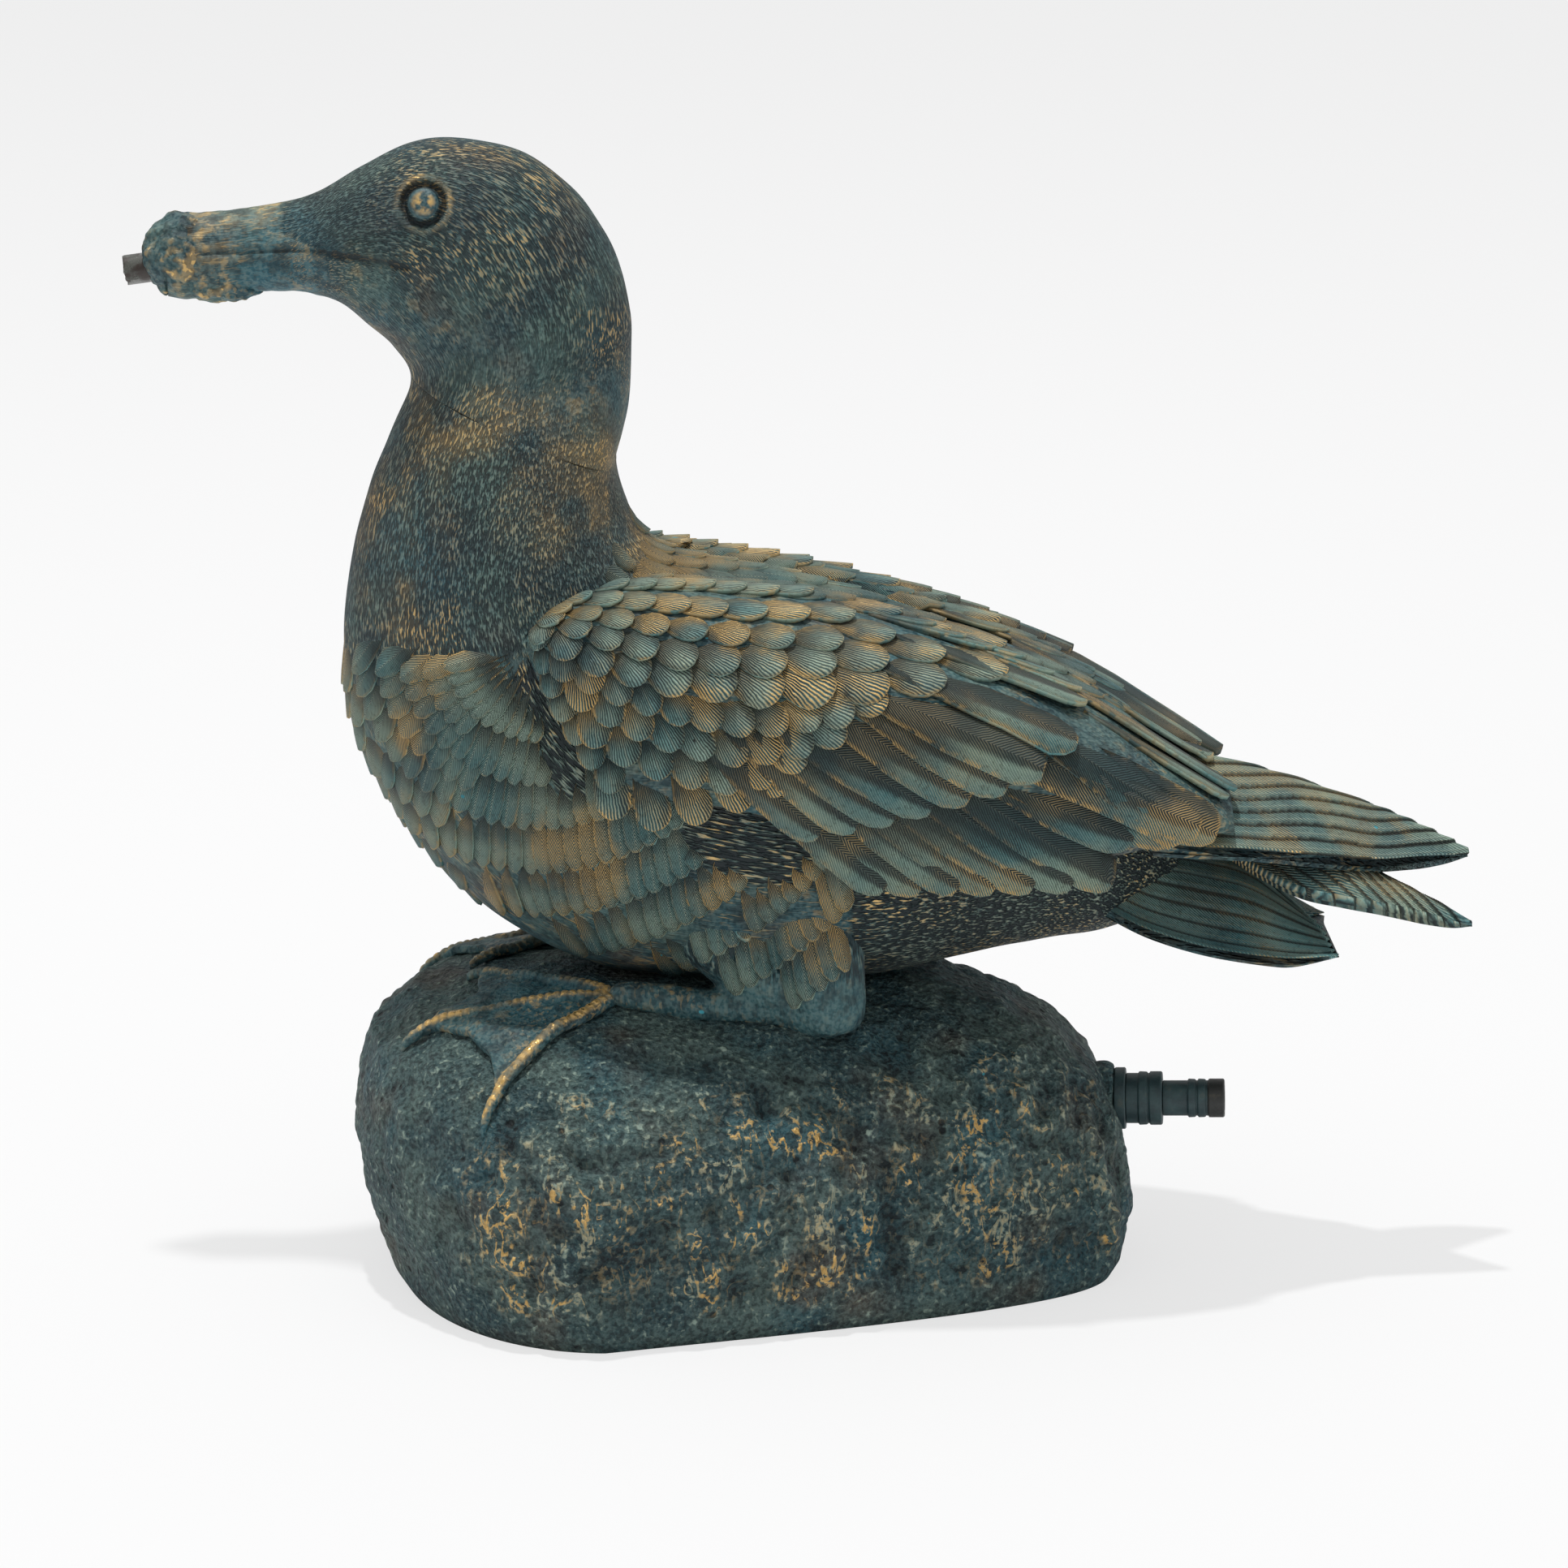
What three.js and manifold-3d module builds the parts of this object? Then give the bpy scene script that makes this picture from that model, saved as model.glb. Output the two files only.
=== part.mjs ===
import * as THREE from 'three';
import Module from 'manifold-3d';
import { mergeVertices } from 'three/addons/utils/BufferGeometryUtils.js';

// Duck fountain figure on a cast rock. Millimetres, +Z up, the rock stands on z = 0.
// The bird faces -X, its left side is -Y, and the origin is the middle of the rock's underside.

const wasm = await Module();
wasm.setup();

// Driving dimensions.
const clearance = 0.3;
const rockFront = 146;
const rockRear = 129;
const rockDepth = 214;
const rockHeight = 110;
const rockWall = 9;
const rockWidestX = -55;
const rockTaper = 0.5;
const plateThickness = 5;
const bodyWall = 7;
const wingThickness = 9;
const quillThickness = 5;
const tailThickness = 4.4;
const tubeDiameter = 10.3;
const tubeBore = 7.3;
const tubeProud = 6;
const sealLength = 13;
const sealOverlap = 4;
const sealLift = 2.4;
const bigBarbDiameter = 19.1;
const smallBarbDiameter = 13.8;
const flangeDiameter = 22;
const flangeThickness = 4;
const flangeGap = 1.5;
const bigEndLength = 13;
const smallEndLength = 22;
const hoseTailBore = 9;
const hoseTailHeight = 58;
const hoseTailTurn = -6;
const hoseTailRise = 2;
const innerProud = 4;
const spigotLength = 24;
const spigotBore = 4;
const barbDepth = 0.6;
const beadWidth = 2.4;
const clipWidth = 8;
const clipBand = 1.2;
const clipSetback = 6;
const lugSize = 5;
const eyeDiameter = 11.4;
const eyeFlatness = 0.55;
const eyeSink = 1.2;
const dowelDiameter = 8;
const dowelLength = 48;
const dowelDepth = 18;
const dowelForward = 3;
const dowelInward = 4;
const collarTilt = 23.5;
const collarX = -87;
const collarRise = 194;
const throatReach = 75;
const napeReach = 47;

// The bird is drawn above the rock's top, so it rises and sinks with the rock.
const perch = rockHeight;

// The figure's skin from rump to bill. Each station has its back point, its belly
// point, half its width, and how far down from the back it is widest.
const figureStations = [
  [146, 46, 138, 20, 12, 0.5],
  [128, 70, 121, 12.5, 25, 0.5],
  [100, 99, 95, 8.5, 39, 0.52],
  [70, 116, 68, 3.5, 51, 0.54],
  [38, 130.5, 40, -2, 61, 0.56],
  [5, 139.5, 8, -5, 66, 0.56],
  [-20, 144.5, -27, -4, 67, 0.54],
  [-36, 149, -61, 1, 66, 0.52],
  [-45, 156.5, -92, 16, 64, 0.5],
  [-49, 165, -118, 39.5, 60.5, 0.48],
  [-51.5, 173, -135, 64.5, 56, 0.46],
  [-52, 180.5, -144.8, 88, 52, 0.45],
  [-50, 189, -147.6, 113, 47.5, 0.45],
  [-48, 199, -145.3, 138, 43, 0.46],
  [-47, 209, -139.8, 163, 39.5, 0.48],
  [-46.7, 219, -131, 187, 36, 0.5],
  [-46.8, 230, -122.5, 207.5, 34, 0.5],
  [-49.5, 243.5, -128.3, 219.6, 32.5, 0.48],
  [-56, 259, -138, 227.8, 31.5, 0.46],
  [-67, 273.5, -145, 233.5, 30.5, 0.44],
  [-84, 285.2, -150, 236, 29.5, 0.42],
  [-103, 289.7, -154, 237, 28, 0.42],
  [-121, 288.4, -159, 238.1, 25, 0.44],
  [-138, 280.7, -165, 238.2, 20.5, 0.46],
  [-153, 272, -172, 238, 15.5, 0.5],
  [-166, 268, -180, 237.6, 12.8, 0.5],
  [-181, 265.8, -189, 236, 12, 0.5],
  [-195, 264.8, -198, 234.8, 12, 0.5],
  [-204, 263, -205, 236, 10.5, 0.5],
];
const hollowFirst = 1.2;
const hollowLast = 21.5;

// The rock's outline at each level: height, front reach, rear reach and depth,
// each as a share of the rock's own height, front, rear and depth.
const rockLevels = [
  [0, 0.9, 0.95, 0.955],
  [0.05, 0.925, 0.975, 0.98],
  [0.25, 0.975, 1, 1],
  [0.48, 1, 0.967, 0.985],
  [0.66, 0.99, 0.89, 0.92],
  [0.8, 0.965, 0.77, 0.81],
  [0.9, 0.875, 0.62, 0.64],
  [0.965, 0.665, 0.46, 0.44],
  [0.995, 0.48, 0.26, 0.26],
];

// The left wing's cover: place along X, then top edge, widest point and lower edge,
// each as distance out from the middle and height above the rock.
const wingStations = [
  [-81, 54, 130, 58, 127, 57, 124],
  [-72, 45, 139, 66, 125, 66, 104],
  [-60, 37, 143, 70, 121, 70.5, 88],
  [-42, 29, 144.5, 73, 115, 73, 75],
  [-18, 22, 142, 75, 110, 74, 72],
  [4, 18, 139, 76, 106, 73, 66],
  [27, 15, 134.5, 76, 102, 71.5, 53],
  [58, 11, 125.5, 74, 95, 69, 50],
  [88, 7.5, 114, 70, 88, 66, 50],
  [114, 5, 100.5, 65, 80, 61, 51],
  [134, 3, 86.5, 58, 73.5, 54, 54.5],
  [150, 2, 75, 51, 66, 48, 58],
  [160, 1.5, 68.5, 45, 58.5, 43.5, 56.5],
];

// The long quills past the cover: place along X, then near edge, ridge and far edge,
// each as Y and height above the rock. The left wing's quills lie over the right one's.
const leftQuills = [
  [132, -50, 55, -9, 84, -3, 82],
  [150, -46, 53, -9, 76, -2, 73],
  [166, -41, 51, -8, 71.5, 2, 67],
  [184, -30, 46.5, -4, 65.8, 13, 58],
  [200, -20.5, 42.5, 2, 59, 19, 51],
  [214, -12, 39.5, 8, 52.8, 23, 46],
  [230, 3, 36.5, 14, 45, 24.5, 40],
  [243, 14, 34, 18, 38, 22.5, 35.5],
  [249, 18.5, 33, 20, 34.4, 21.5, 33],
];
const rightQuills = [
  [132, 50, 55, 9, 82, 3, 80],
  [150, 46, 51, 9, 68, -10, 54],
  [166, 40, 45, 11, 60, -22, 43],
  [184, 31, 39, 7, 53, -28, 34.5],
  [200, 23, 34, 0, 46, -27, 30.5],
  [214, 12, 28.5, -7, 34.5, -25, 27.5],
  [228, -3, 24, -13, 28.5, -23.5, 24],
  [240, -13.5, 20, -17, 22.8, -21.5, 19.8],
  [246, -18, 18.4, -19.3, 20, -20.6, 18.4],
];

// The tail fan: place along X, then near edge, ridge and far edge as Y and height.
const tailStations = [
  [118, -20, 24, 0, 50, 20, 24],
  [132, -29, 19, 0, 43, 29, 19],
  [150, -32.5, 14, 0, 40, 32.5, 14],
  [168, -34, 11, 0, 35.5, 34, 11],
  [184, -33, 9.3, 0, 26, 33, 9.3],
  [199.5, -27, 8.6, 0, 14.5, 27, 8.6],
];

// The hose's route inside the figure, as X and height above the rock.
const tubeRoute = [
  [50, -48],
  [22, -38],
  [4, -16],
  [-10, 12],
  [-30, 50],
  [-56, 90],
  [-76, 130],
  [-87, 170],
  [-93, 205],
  [-106, 234],
  [-130, 250],
  [-158, 254],
  [-186, 250],
  [-204, 247.3],
];

// The left foot: the ankle and the tips of the outer, middle and inner toe, in plan.
const ankle = [-52, -45];
const toeTips = [[-95, -85], [-124, -44], [-110, -12]];
const toeRadius = 3.8;
const clawRadius = 2.2;
const webThickness = 2.8;
const webScallop = 0.26;
const heel = [22, -48];
const heelRadius = 12;
const thighRadius = 19;
const shankRadius = 6.5;
const shankTaper = 1.4;
const toeSink = 0.3;
const webReach = 0.93;

// The bulge of the left leg above its heel, as offsets from the heel along X and Y,
// height above the rock, and the bulge's radius.
const thighBulge = [
  [-6, 14, 46, thighRadius],
  [-4, 8, 24, thighRadius - 1],
  [-2, 2, 8, 0.5 * (thighRadius + heelRadius)],
];

// Solids and meshes.

function solidOf(geometry) {
  const bare = geometry.clone();
  bare.deleteAttribute('normal');
  bare.deleteAttribute('uv');
  const merged = mergeVertices(bare, 1e-4);
  return new wasm.Manifold(new wasm.Mesh({
    numProp: 3,
    vertProperties: new Float32Array(merged.attributes.position.array),
    triVerts: new Uint32Array(merged.index.array),
  }));
}

function geometryOf(solid) {
  const mesh = solid.getMesh();
  const geometry = new THREE.BufferGeometry();
  geometry.setAttribute('position', new THREE.BufferAttribute(new Float32Array(mesh.vertProperties), 3));
  geometry.setIndex(new THREE.BufferAttribute(new Uint32Array(mesh.triVerts), 1));
  geometry.computeVertexNormals();
  return geometry;
}

function signedVolume(points, triangles) {
  let total = 0;
  for (const [a, b, c] of triangles) {
    total += points[a].dot(points[b].clone().cross(points[c]));
  }
  return total;
}

// A closed skin through rings of equal length, with a point in the middle of each end.
function loft(rings) {
  const count = rings[0].length;
  const points = rings.flat();
  const triangles = [];
  for (let r = 0; r + 1 < rings.length; r += 1) {
    for (let i = 0; i < count; i += 1) {
      const a = r * count + i;
      const b = r * count + (i + 1) % count;
      triangles.push([a, b, b + count], [a, b + count, a + count]);
    }
  }
  const last = (rings.length - 1) * count;
  const startPoint = points.length;
  points.push(middleOf(rings[0]), middleOf(rings[rings.length - 1]));
  for (let i = 0; i < count; i += 1) {
    const next = (i + 1) % count;
    triangles.push([startPoint, next, i], [startPoint + 1, last + i, last + next]);
  }
  const outward = signedVolume(points, triangles) > 0;
  const geometry = new THREE.BufferGeometry();
  geometry.setFromPoints(points);
  geometry.setIndex(triangles.flatMap(([a, b, c]) => (outward ? [a, b, c] : [a, c, b])));
  return geometry;
}

function middleOf(ring) {
  const sum = ring.reduce((total, point) => total.add(point), new THREE.Vector3());
  return sum.divideScalar(ring.length);
}

// A station between two rows of a table, on a smooth curve through all its rows.
function rowAt(table, place) {
  const first = Math.min(Math.floor(place), table.length - 2);
  const part = place - first;
  const row = (index) => table[Math.min(Math.max(index, 0), table.length - 1)];
  return table[0].map((_, column) => {
    const [a, b, c, d] = [-1, 0, 1, 2].map((step) => row(first + step)[column]);
    const bend = (2 * a - 5 * b + 4 * c - d) * part + (3 * b - a - 3 * c + d) * part * part;
    return b + 0.5 * part * (c - a + bend);
  });
}

function span(from, to, steps) {
  return Array.from({ length: steps + 1 }, (_, index) => from + (to - from) * index / steps);
}

function mirrored(geometry) {
  const copy = geometry.clone().scale(1, -1, 1);
  const index = copy.index.array;
  for (let i = 0; i < index.length; i += 3) {
    [index[i + 1], index[i + 2]] = [index[i + 2], index[i + 1]];
  }
  copy.computeVertexNormals();
  return copy;
}

// A tapered round bar through points that each carry a radius.
function taperedBar(path, sides, grow) {
  const rings = path.map((point, index) => {
    const before = path[Math.max(index - 1, 0)].at;
    const after = path[Math.min(index + 1, path.length - 1)].at;
    const along = after.clone().sub(before).normalize();
    const steep = Math.abs(along.z) > 0.7;
    const reference = new THREE.Vector3(0, steep ? 1 : 0, steep ? 0 : 1);
    const across = along.clone().cross(reference).normalize();
    const over = across.clone().cross(along);
    return span(0, 2 * Math.PI, sides).slice(0, sides).map((angle) => point.at.clone()
      .addScaledVector(across, Math.cos(angle) * (point.radius + grow))
      .addScaledVector(over, Math.sin(angle) * (point.radius + grow)));
  });
  return loft(rings);
}

// The rock.

function rockLevelAt(height) {
  const share = Math.min(Math.max(height / rockHeight, 0), rockLevels[rockLevels.length - 1][0]);
  let first = 0;
  while (first < rockLevels.length - 2 && rockLevels[first + 1][0] < share) {
    first += 1;
  }
  const [low, high] = [rockLevels[first], rockLevels[first + 1]];
  const part = (share - low[0]) / (high[0] - low[0]);
  const mix = (column) => low[column] + (high[column] - low[column]) * part;
  return { front: -rockFront * mix(1), rear: rockRear * mix(2), half: 0.5 * rockDepth * mix(3) };
}

// Half the rock's depth at a place along X, on one level: a half ellipse in front,
// and behind it a side that tapers and then rounds off.
function rockHalfDepth(level, x) {
  if (x < rockWidestX) {
    const share = Math.min((rockWidestX - x) / (rockWidestX - level.front), 1);
    return level.half * Math.sqrt(1 - share * share);
  }
  const share = Math.min((x - rockWidestX) / (level.rear - rockWidestX), 1);
  const roundness = 4.5;
  return level.half * (1 - rockTaper * share) * (1 - share ** roundness) ** (1 / roundness);
}

function rockRing(height, z, inset, sides) {
  const level = rockLevelAt(height);
  level.front += inset;
  level.rear -= inset;
  level.half -= inset;
  return span(0, 2 * Math.PI, sides).slice(0, sides).map((angle) => {
    const side = Math.cos(angle);
    const reach = side < 0 ? rockWidestX - level.front : level.rear - rockWidestX;
    const share = side < 0 ? side : side ** 0.55;
    const x = rockWidestX + reach * share;
    return new THREE.Vector3(x, Math.sign(Math.sin(angle)) * rockHalfDepth(level, x), z);
  });
}

function rockSkin(inset, drop, bottom) {
  const heights = rockLevels.map(([share]) => share * rockHeight);
  const rings = heights.map((height) => rockRing(height, Math.max(height - drop, bottom), inset, 32));
  if (bottom < 0) {
    rings.unshift(rockRing(0, bottom, inset, 32));
    rings[1] = rockRing(heights[0], bottom + 1, inset, 32);
  }
  return loft(rings.filter((ring, index) => index === 0 || ring[0].z > rings[index - 1][0].z + 0.01));
}

// Height of the rock's upper surface over a point in plan.
function rockTop(x, y) {
  let low = rockHeight * 0.3;
  let high = rockHeight;
  for (let step = 0; step < 24; step += 1) {
    const middle = 0.5 * (low + high);
    const level = rockLevelAt(middle);
    const inside = x > level.front && x < level.rear && Math.abs(y) < rockHalfDepth(level, x);
    [low, high] = inside ? [middle, high] : [low, middle];
  }
  return low;
}

// The bird's skin.

function figurePoint(station, angle, grow) {
  const [backX, backZ, bellyX, bellyZ, halfWidth, widest] = station;
  const back = new THREE.Vector2(backX, backZ);
  const belly = new THREE.Vector2(bellyX, bellyZ);
  const down = belly.clone().sub(back).normalize();
  back.addScaledVector(down, -grow);
  belly.addScaledVector(down, grow);
  const power = Math.log(widest) / Math.log(0.5);
  const share = ((1 - Math.cos(angle)) / 2) ** power;
  const spot = back.lerp(belly, share);
  return new THREE.Vector3(spot.x, Math.sin(angle) * (halfWidth + grow), perch + spot.y);
}

function figureRing(place, grow, sides) {
  const station = rowAt(figureStations, place);
  return span(0, 2 * Math.PI, sides).slice(0, sides).map((angle) => figurePoint(station, angle, grow));
}

function figureSkin(from, to, steps, grow, sides) {
  return loft(span(from, to, steps).map((place) => figureRing(place, grow, sides)));
}

const figureEnd = figureStations.length - 1;
const figureSides = 24;
const figureSteps = Math.round(1.5 * figureEnd);
const figureSolid = solidOf(figureSkin(0, figureEnd, figureSteps, 0, figureSides));
const figureGrown = solidOf(figureSkin(0, figureEnd, figureSteps, clearance, figureSides));
const figureHollow = solidOf(figureSkin(hollowFirst, hollowLast, 16, -bodyWall, 14));

// The hose and what it runs through.

// A point on the hose tail's own axis, counted outwards from its flange.
function hoseTailAxis(distance) {
  const point = new THREE.BufferGeometry().setFromPoints([new THREE.Vector3(0, distance, 0)]);
  return new THREE.Vector3().fromBufferAttribute(hoseTailPlaced(point).attributes.position, 0);
}

// The hose starts straight on the hose tail's axis and then follows its route to the bill.
function tubeCurve(extra) {
  const straight = [0, 0.5, 1, 1.5]
    .map((share) => hoseTailAxis(-innerLength - clearance - share * spigotLength));
  const points = tubeRoute.map(([x, height]) => new THREE.Vector3(x, 0, perch + height));
  const last = points[points.length - 1];
  const nose = last.clone().sub(points[points.length - 2]).normalize();
  const tip = last.clone().addScaledVector(nose, sealLength - sealOverlap + tubeProud + extra);
  return new THREE.CatmullRomCurve3([...straight, ...points, tip], false, 'centripetal');
}

function roundShape(radius, sides) {
  return new THREE.Shape(span(0, 2 * Math.PI, sides).slice(0, sides)
    .map((angle) => new THREE.Vector2(Math.cos(angle) * radius, Math.sin(angle) * radius)));
}

function tubeGeometry(outer, inner, extra, steps) {
  const shape = roundShape(outer, 10);
  if (inner > 0) {
    shape.holes.push(roundShape(inner, 10));
  }
  return new THREE.ExtrudeGeometry(shape, { steps, bevelEnabled: false, extrudePath: tubeCurve(extra) });
}

const rearWallX = rockLevelAt(hoseTailHeight).rear;
const innerLength = rockWall + innerProud;
const hoseTailShank = bigBarbDiameter / 2 - 2 * barbDepth;
const tubeBoreCut = solidOf(tubeGeometry(tubeDiameter / 2 + clearance, 0, 3, 38));
const tubeSkin = tubeGeometry(tubeDiameter / 2, tubeBore / 2, 0, 38);

// The stepped hose tail: rings as shares of each step's length, the last one plain
// and the others sloping like barbs.
const bigRings = [[0.35, 0.6], [0.65, 1]];
const smallRings = [[0.41, 0.54], [0.57, 0.7], [0.74, 1]];
const hoseTailEnd = flangeThickness + bigEndLength + smallEndLength;

function barbs(start, length, rings, crest) {
  const core = crest - barbDepth;
  const points = [[start, core]];
  rings.forEach(([from, to], index) => {
    const plain = index === rings.length - 1;
    points.push([start + from * length, core], [start + from * length, crest]);
    points.push([start + to * length, plain ? crest : core]);
  });
  return points;
}

function hoseTailGeometry() {
  const inner = -innerLength;
  const spigot = tubeBore / 2 - 2 * clearance;
  const flange = flangeDiameter / 2;
  return latheAbout([
    [inner - spigotLength, spigotBore / 2], [inner - spigotLength, spigot], [inner, spigot],
    [inner, hoseTailShank], [0, hoseTailShank], [0, flange], [flangeThickness, flange],
    ...barbs(flangeThickness, bigEndLength, bigRings, bigBarbDiameter / 2),
    ...barbs(flangeThickness + bigEndLength, smallEndLength, smallRings, smallBarbDiameter / 2),
    [hoseTailEnd, hoseTailBore / 2], [inner + hoseTailBore / 2, hoseTailBore / 2],
    [inner, spigotBore / 2], [inner - spigotLength, spigotBore / 2],
  ], 20);
}

function hoseTailPlaced(geometry) {
  return geometry.rotateZ(-Math.PI / 2)
    .rotateY(THREE.MathUtils.degToRad(-hoseTailRise))
    .rotateZ(THREE.MathUtils.degToRad(hoseTailTurn))
    .translate(rearWallX + flangeGap, 0, hoseTailHeight);
}

function latheAbout(profile, sides) {
  return new THREE.LatheGeometry(profile.map(([along, radius]) => new THREE.Vector2(radius, along)), sides);
}

const hoseTailCut = solidOf(hoseTailPlaced(latheAbout([
  [-rockWall * 3, 0], [-rockWall * 3, hoseTailShank + clearance], [0, hoseTailShank + clearance],
  [0, flangeDiameter / 2 + clearance], [hoseTailEnd, flangeDiameter / 2 + clearance],
  [hoseTailEnd, 0],
], 20)));

// The legs, feet and pins, built for the left side and mirrored for the right.

function legPath() {
  const bulge = thighBulge.map(([x, y, height, radius]) => (
    { at: new THREE.Vector3(heel[0] + x, heel[1] + y, perch + height), radius }));
  const foot = new THREE.Vector3(heel[0], heel[1], rockTop(...heel) - heelRadius / 4);
  return [...bulge, { at: foot, radius: heelRadius }];
}

function shankPath() {
  return span(0, 1, 5).map((share) => {
    const x = heel[0] + (ankle[0] - heel[0]) * share;
    const y = heel[1] + (ankle[1] - heel[1]) * share;
    const radius = shankRadius - shankTaper * share;
    return { at: new THREE.Vector3(x, y, rockTop(x, y) + radius - shankTaper), radius };
  });
}

const dowelX = heel[0] - dowelForward;
const dowelY = heel[1] + dowelInward;

function dowelGeometry(grow) {
  const radius = dowelDiameter / 2 + grow;
  return new THREE.CylinderGeometry(radius, radius, dowelLength + 2 * grow, 16)
    .rotateX(Math.PI / 2)
    .translate(dowelX, dowelY, perch - dowelDepth + dowelLength / 2);
}

const rockGrown = solidOf(rockSkin(-clearance, -clearance, -2));
const dowelCut = solidOf(dowelGeometry(clearance));
const dowelCutRight = solidOf(mirrored(dowelGeometry(clearance)));

function legGeometry() {
  const leg = solidOf(taperedBar(legPath(), 16, 0)).add(solidOf(taperedBar(shankPath(), 12, 0)));
  return geometryOf(leg.subtract(figureGrown).subtract(rockGrown).subtract(dowelCut));
}

function toePath(tip) {
  return span(0, 1, 6).map((share) => {
    const x = ankle[0] + (tip[0] - ankle[0]) * share;
    const y = ankle[1] + (tip[1] - ankle[1]) * share;
    const radius = toeRadius + (clawRadius - toeRadius) * share ** 2;
    return { at: new THREE.Vector3(x, y, rockTop(x, y) + radius * toeSink), radius };
  });
}

function toeTipAt(across) {
  const first = Math.min(Math.floor(across), toeTips.length - 2);
  const part = across - first;
  return toeTips[first].map((value, axis) => value + (toeTips[first + 1][axis] - value) * part);
}

function webGeometry() {
  const acrossSteps = span(0, toeTips.length - 1, 12);
  const rings = span(0.1, 1, 8).map((along) => {
    const spots = acrossSteps.map((across) => {
      const tip = toeTipAt(across);
      const reach = along * (webReach - webScallop * Math.sin(Math.PI * (across % 1)));
      const x = ankle[0] + (tip[0] - ankle[0]) * reach;
      const y = ankle[1] + (tip[1] - ankle[1]) * reach;
      return new THREE.Vector3(x, y, rockTop(x, y));
    });
    const upper = spots.map((spot) => spot.clone().add(new THREE.Vector3(0, 0, webThickness)));
    const lower = spots.map((spot) => spot.clone().add(new THREE.Vector3(0, 0, -webThickness)));
    return [...upper, ...lower.reverse()];
  });
  return loft(rings);
}

function footGeometry() {
  let foot = solidOf(webGeometry());
  for (const tip of toeTips) {
    foot = foot.add(solidOf(taperedBar(toePath(tip), 8, 0)));
  }
  return geometryOf(foot.subtract(rockGrown).subtract(solidOf(taperedBar(shankPath(), 12, clearance))));
}

// The wings and the tail.

function wingRing(place) {
  const [x, topY, topZ, wideY, wideZ, lowY, lowZ] = rowAt(wingStations, place);
  const outer = [];
  for (const share of span(0, 1, 6)) {
    const angle = share * Math.PI / 2;
    outer.push([topY + (wideY - topY) * Math.sin(angle), wideZ + (topZ - wideZ) * Math.cos(angle)]);
  }
  for (const share of span(0, 1, 3).slice(1)) {
    outer.push([wideY + (lowY - wideY) * share ** 2, wideZ + (lowZ - wideZ) * share]);
  }
  const inner = outer.map(([y, z], index) => {
    const before = outer[Math.max(index - 1, 0)];
    const after = outer[Math.min(index + 1, outer.length - 1)];
    const along = new THREE.Vector2(after[0] - before[0], after[1] - before[1]).normalize();
    return [Math.max(y + along.y * wingThickness, topY), z - along.x * wingThickness];
  });
  return [...outer, ...inner.reverse()].map(([y, z]) => new THREE.Vector3(x, -y, perch + z));
}

function bladeRing(station, thickness, grow) {
  const [x, nearY, nearZ, ridgeY, ridgeZ, farY, farZ] = station;
  const table = [[nearY, nearZ], [ridgeY, ridgeZ], [farY, farZ]];
  const spots = span(0, 2, 6).map((place) => rowAt(table, place));
  const edge = (index) => (index === 0 || index === spots.length - 1 ? 0.6 : 1);
  const upper = spots.map(([y, z]) => new THREE.Vector3(x, y, perch + z + grow));
  const lower = spots.map(([y, z], index) => (
    new THREE.Vector3(x, y, perch + z - thickness * edge(index) - grow)));
  return [...upper, ...lower.reverse()];
}

function bladeSkin(table, thickness, grow) {
  const end = table.length - 1;
  const places = span(0, end, Math.round(1.5 * end));
  return loft(places.map((place) => bladeRing(rowAt(table, place), thickness, grow)));
}

const wingEnd = wingStations.length - 1;
const wingCover = loft(span(0, wingEnd, Math.round(1.5 * wingEnd)).map(wingRing));
const leftWingSolid = solidOf(wingCover).add(solidOf(bladeSkin(leftQuills, quillThickness, 0)));
const leftQuillsGrown = solidOf(bladeSkin(leftQuills, quillThickness, clearance));
const rightWingSolid = solidOf(mirrored(wingCover))
  .add(solidOf(bladeSkin(rightQuills, quillThickness, 0)))
  .subtract(leftQuillsGrown);
const tailSolid = solidOf(bladeSkin(tailStations, tailThickness, 0)).subtract(figureGrown);

// The collar plane parts the head from the body. Everything below it is a big block,
// which ends in front of the throat so that it leaves the bill to the head. Everything
// behind the nape belongs to the body at any height.
function belowCollar(lift) {
  const size = 4 * rockFront;
  const below = new THREE.BoxGeometry(size, size, size)
    .translate(size / 2 - throatReach, 0, lift - size / 2)
    .rotateY(THREE.MathUtils.degToRad(collarTilt))
    .translate(collarX, 0, perch + collarRise);
  const behind = new THREE.BoxGeometry(size, size, size)
    .translate(collarX + napeReach + size / 2 - lift, 0, perch + collarRise);
  return solidOf(below).add(solidOf(behind));
}

// The eye sits where the head is widest, with its axis along the head's own normal.
const eyePlace = 20.67;
const eyeStation = rowAt(figureStations, eyePlace);
const eyeAngle = 1.39;
const eyeAt = figurePoint(eyeStation, -eyeAngle, -eyeSink);

function eyeGeometry(grow) {
  const along = figurePoint(rowAt(figureStations, eyePlace + 0.5), -eyeAngle, 0)
    .sub(figurePoint(rowAt(figureStations, eyePlace - 0.5), -eyeAngle, 0));
  const down = figurePoint(eyeStation, -eyeAngle - 0.15, 0)
    .sub(figurePoint(eyeStation, -eyeAngle + 0.15, 0));
  const normal = along.cross(down).normalize();
  normal.multiplyScalar(Math.sign(-normal.y));
  const turn = new THREE.Quaternion().setFromUnitVectors(new THREE.Vector3(0, 1, 0), normal);
  return new THREE.SphereGeometry(eyeDiameter / 2 + grow, 16, 8)
    .scale(1, eyeFlatness, 1)
    .applyQuaternion(turn)
    .translate(eyeAt.x, eyeAt.y, eyeAt.z);
}

const eyeCut = solidOf(eyeGeometry(clearance));
const eyeCutRight = solidOf(mirrored(eyeGeometry(clearance)));

// The putty at the bill and the bead at the rock.

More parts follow.
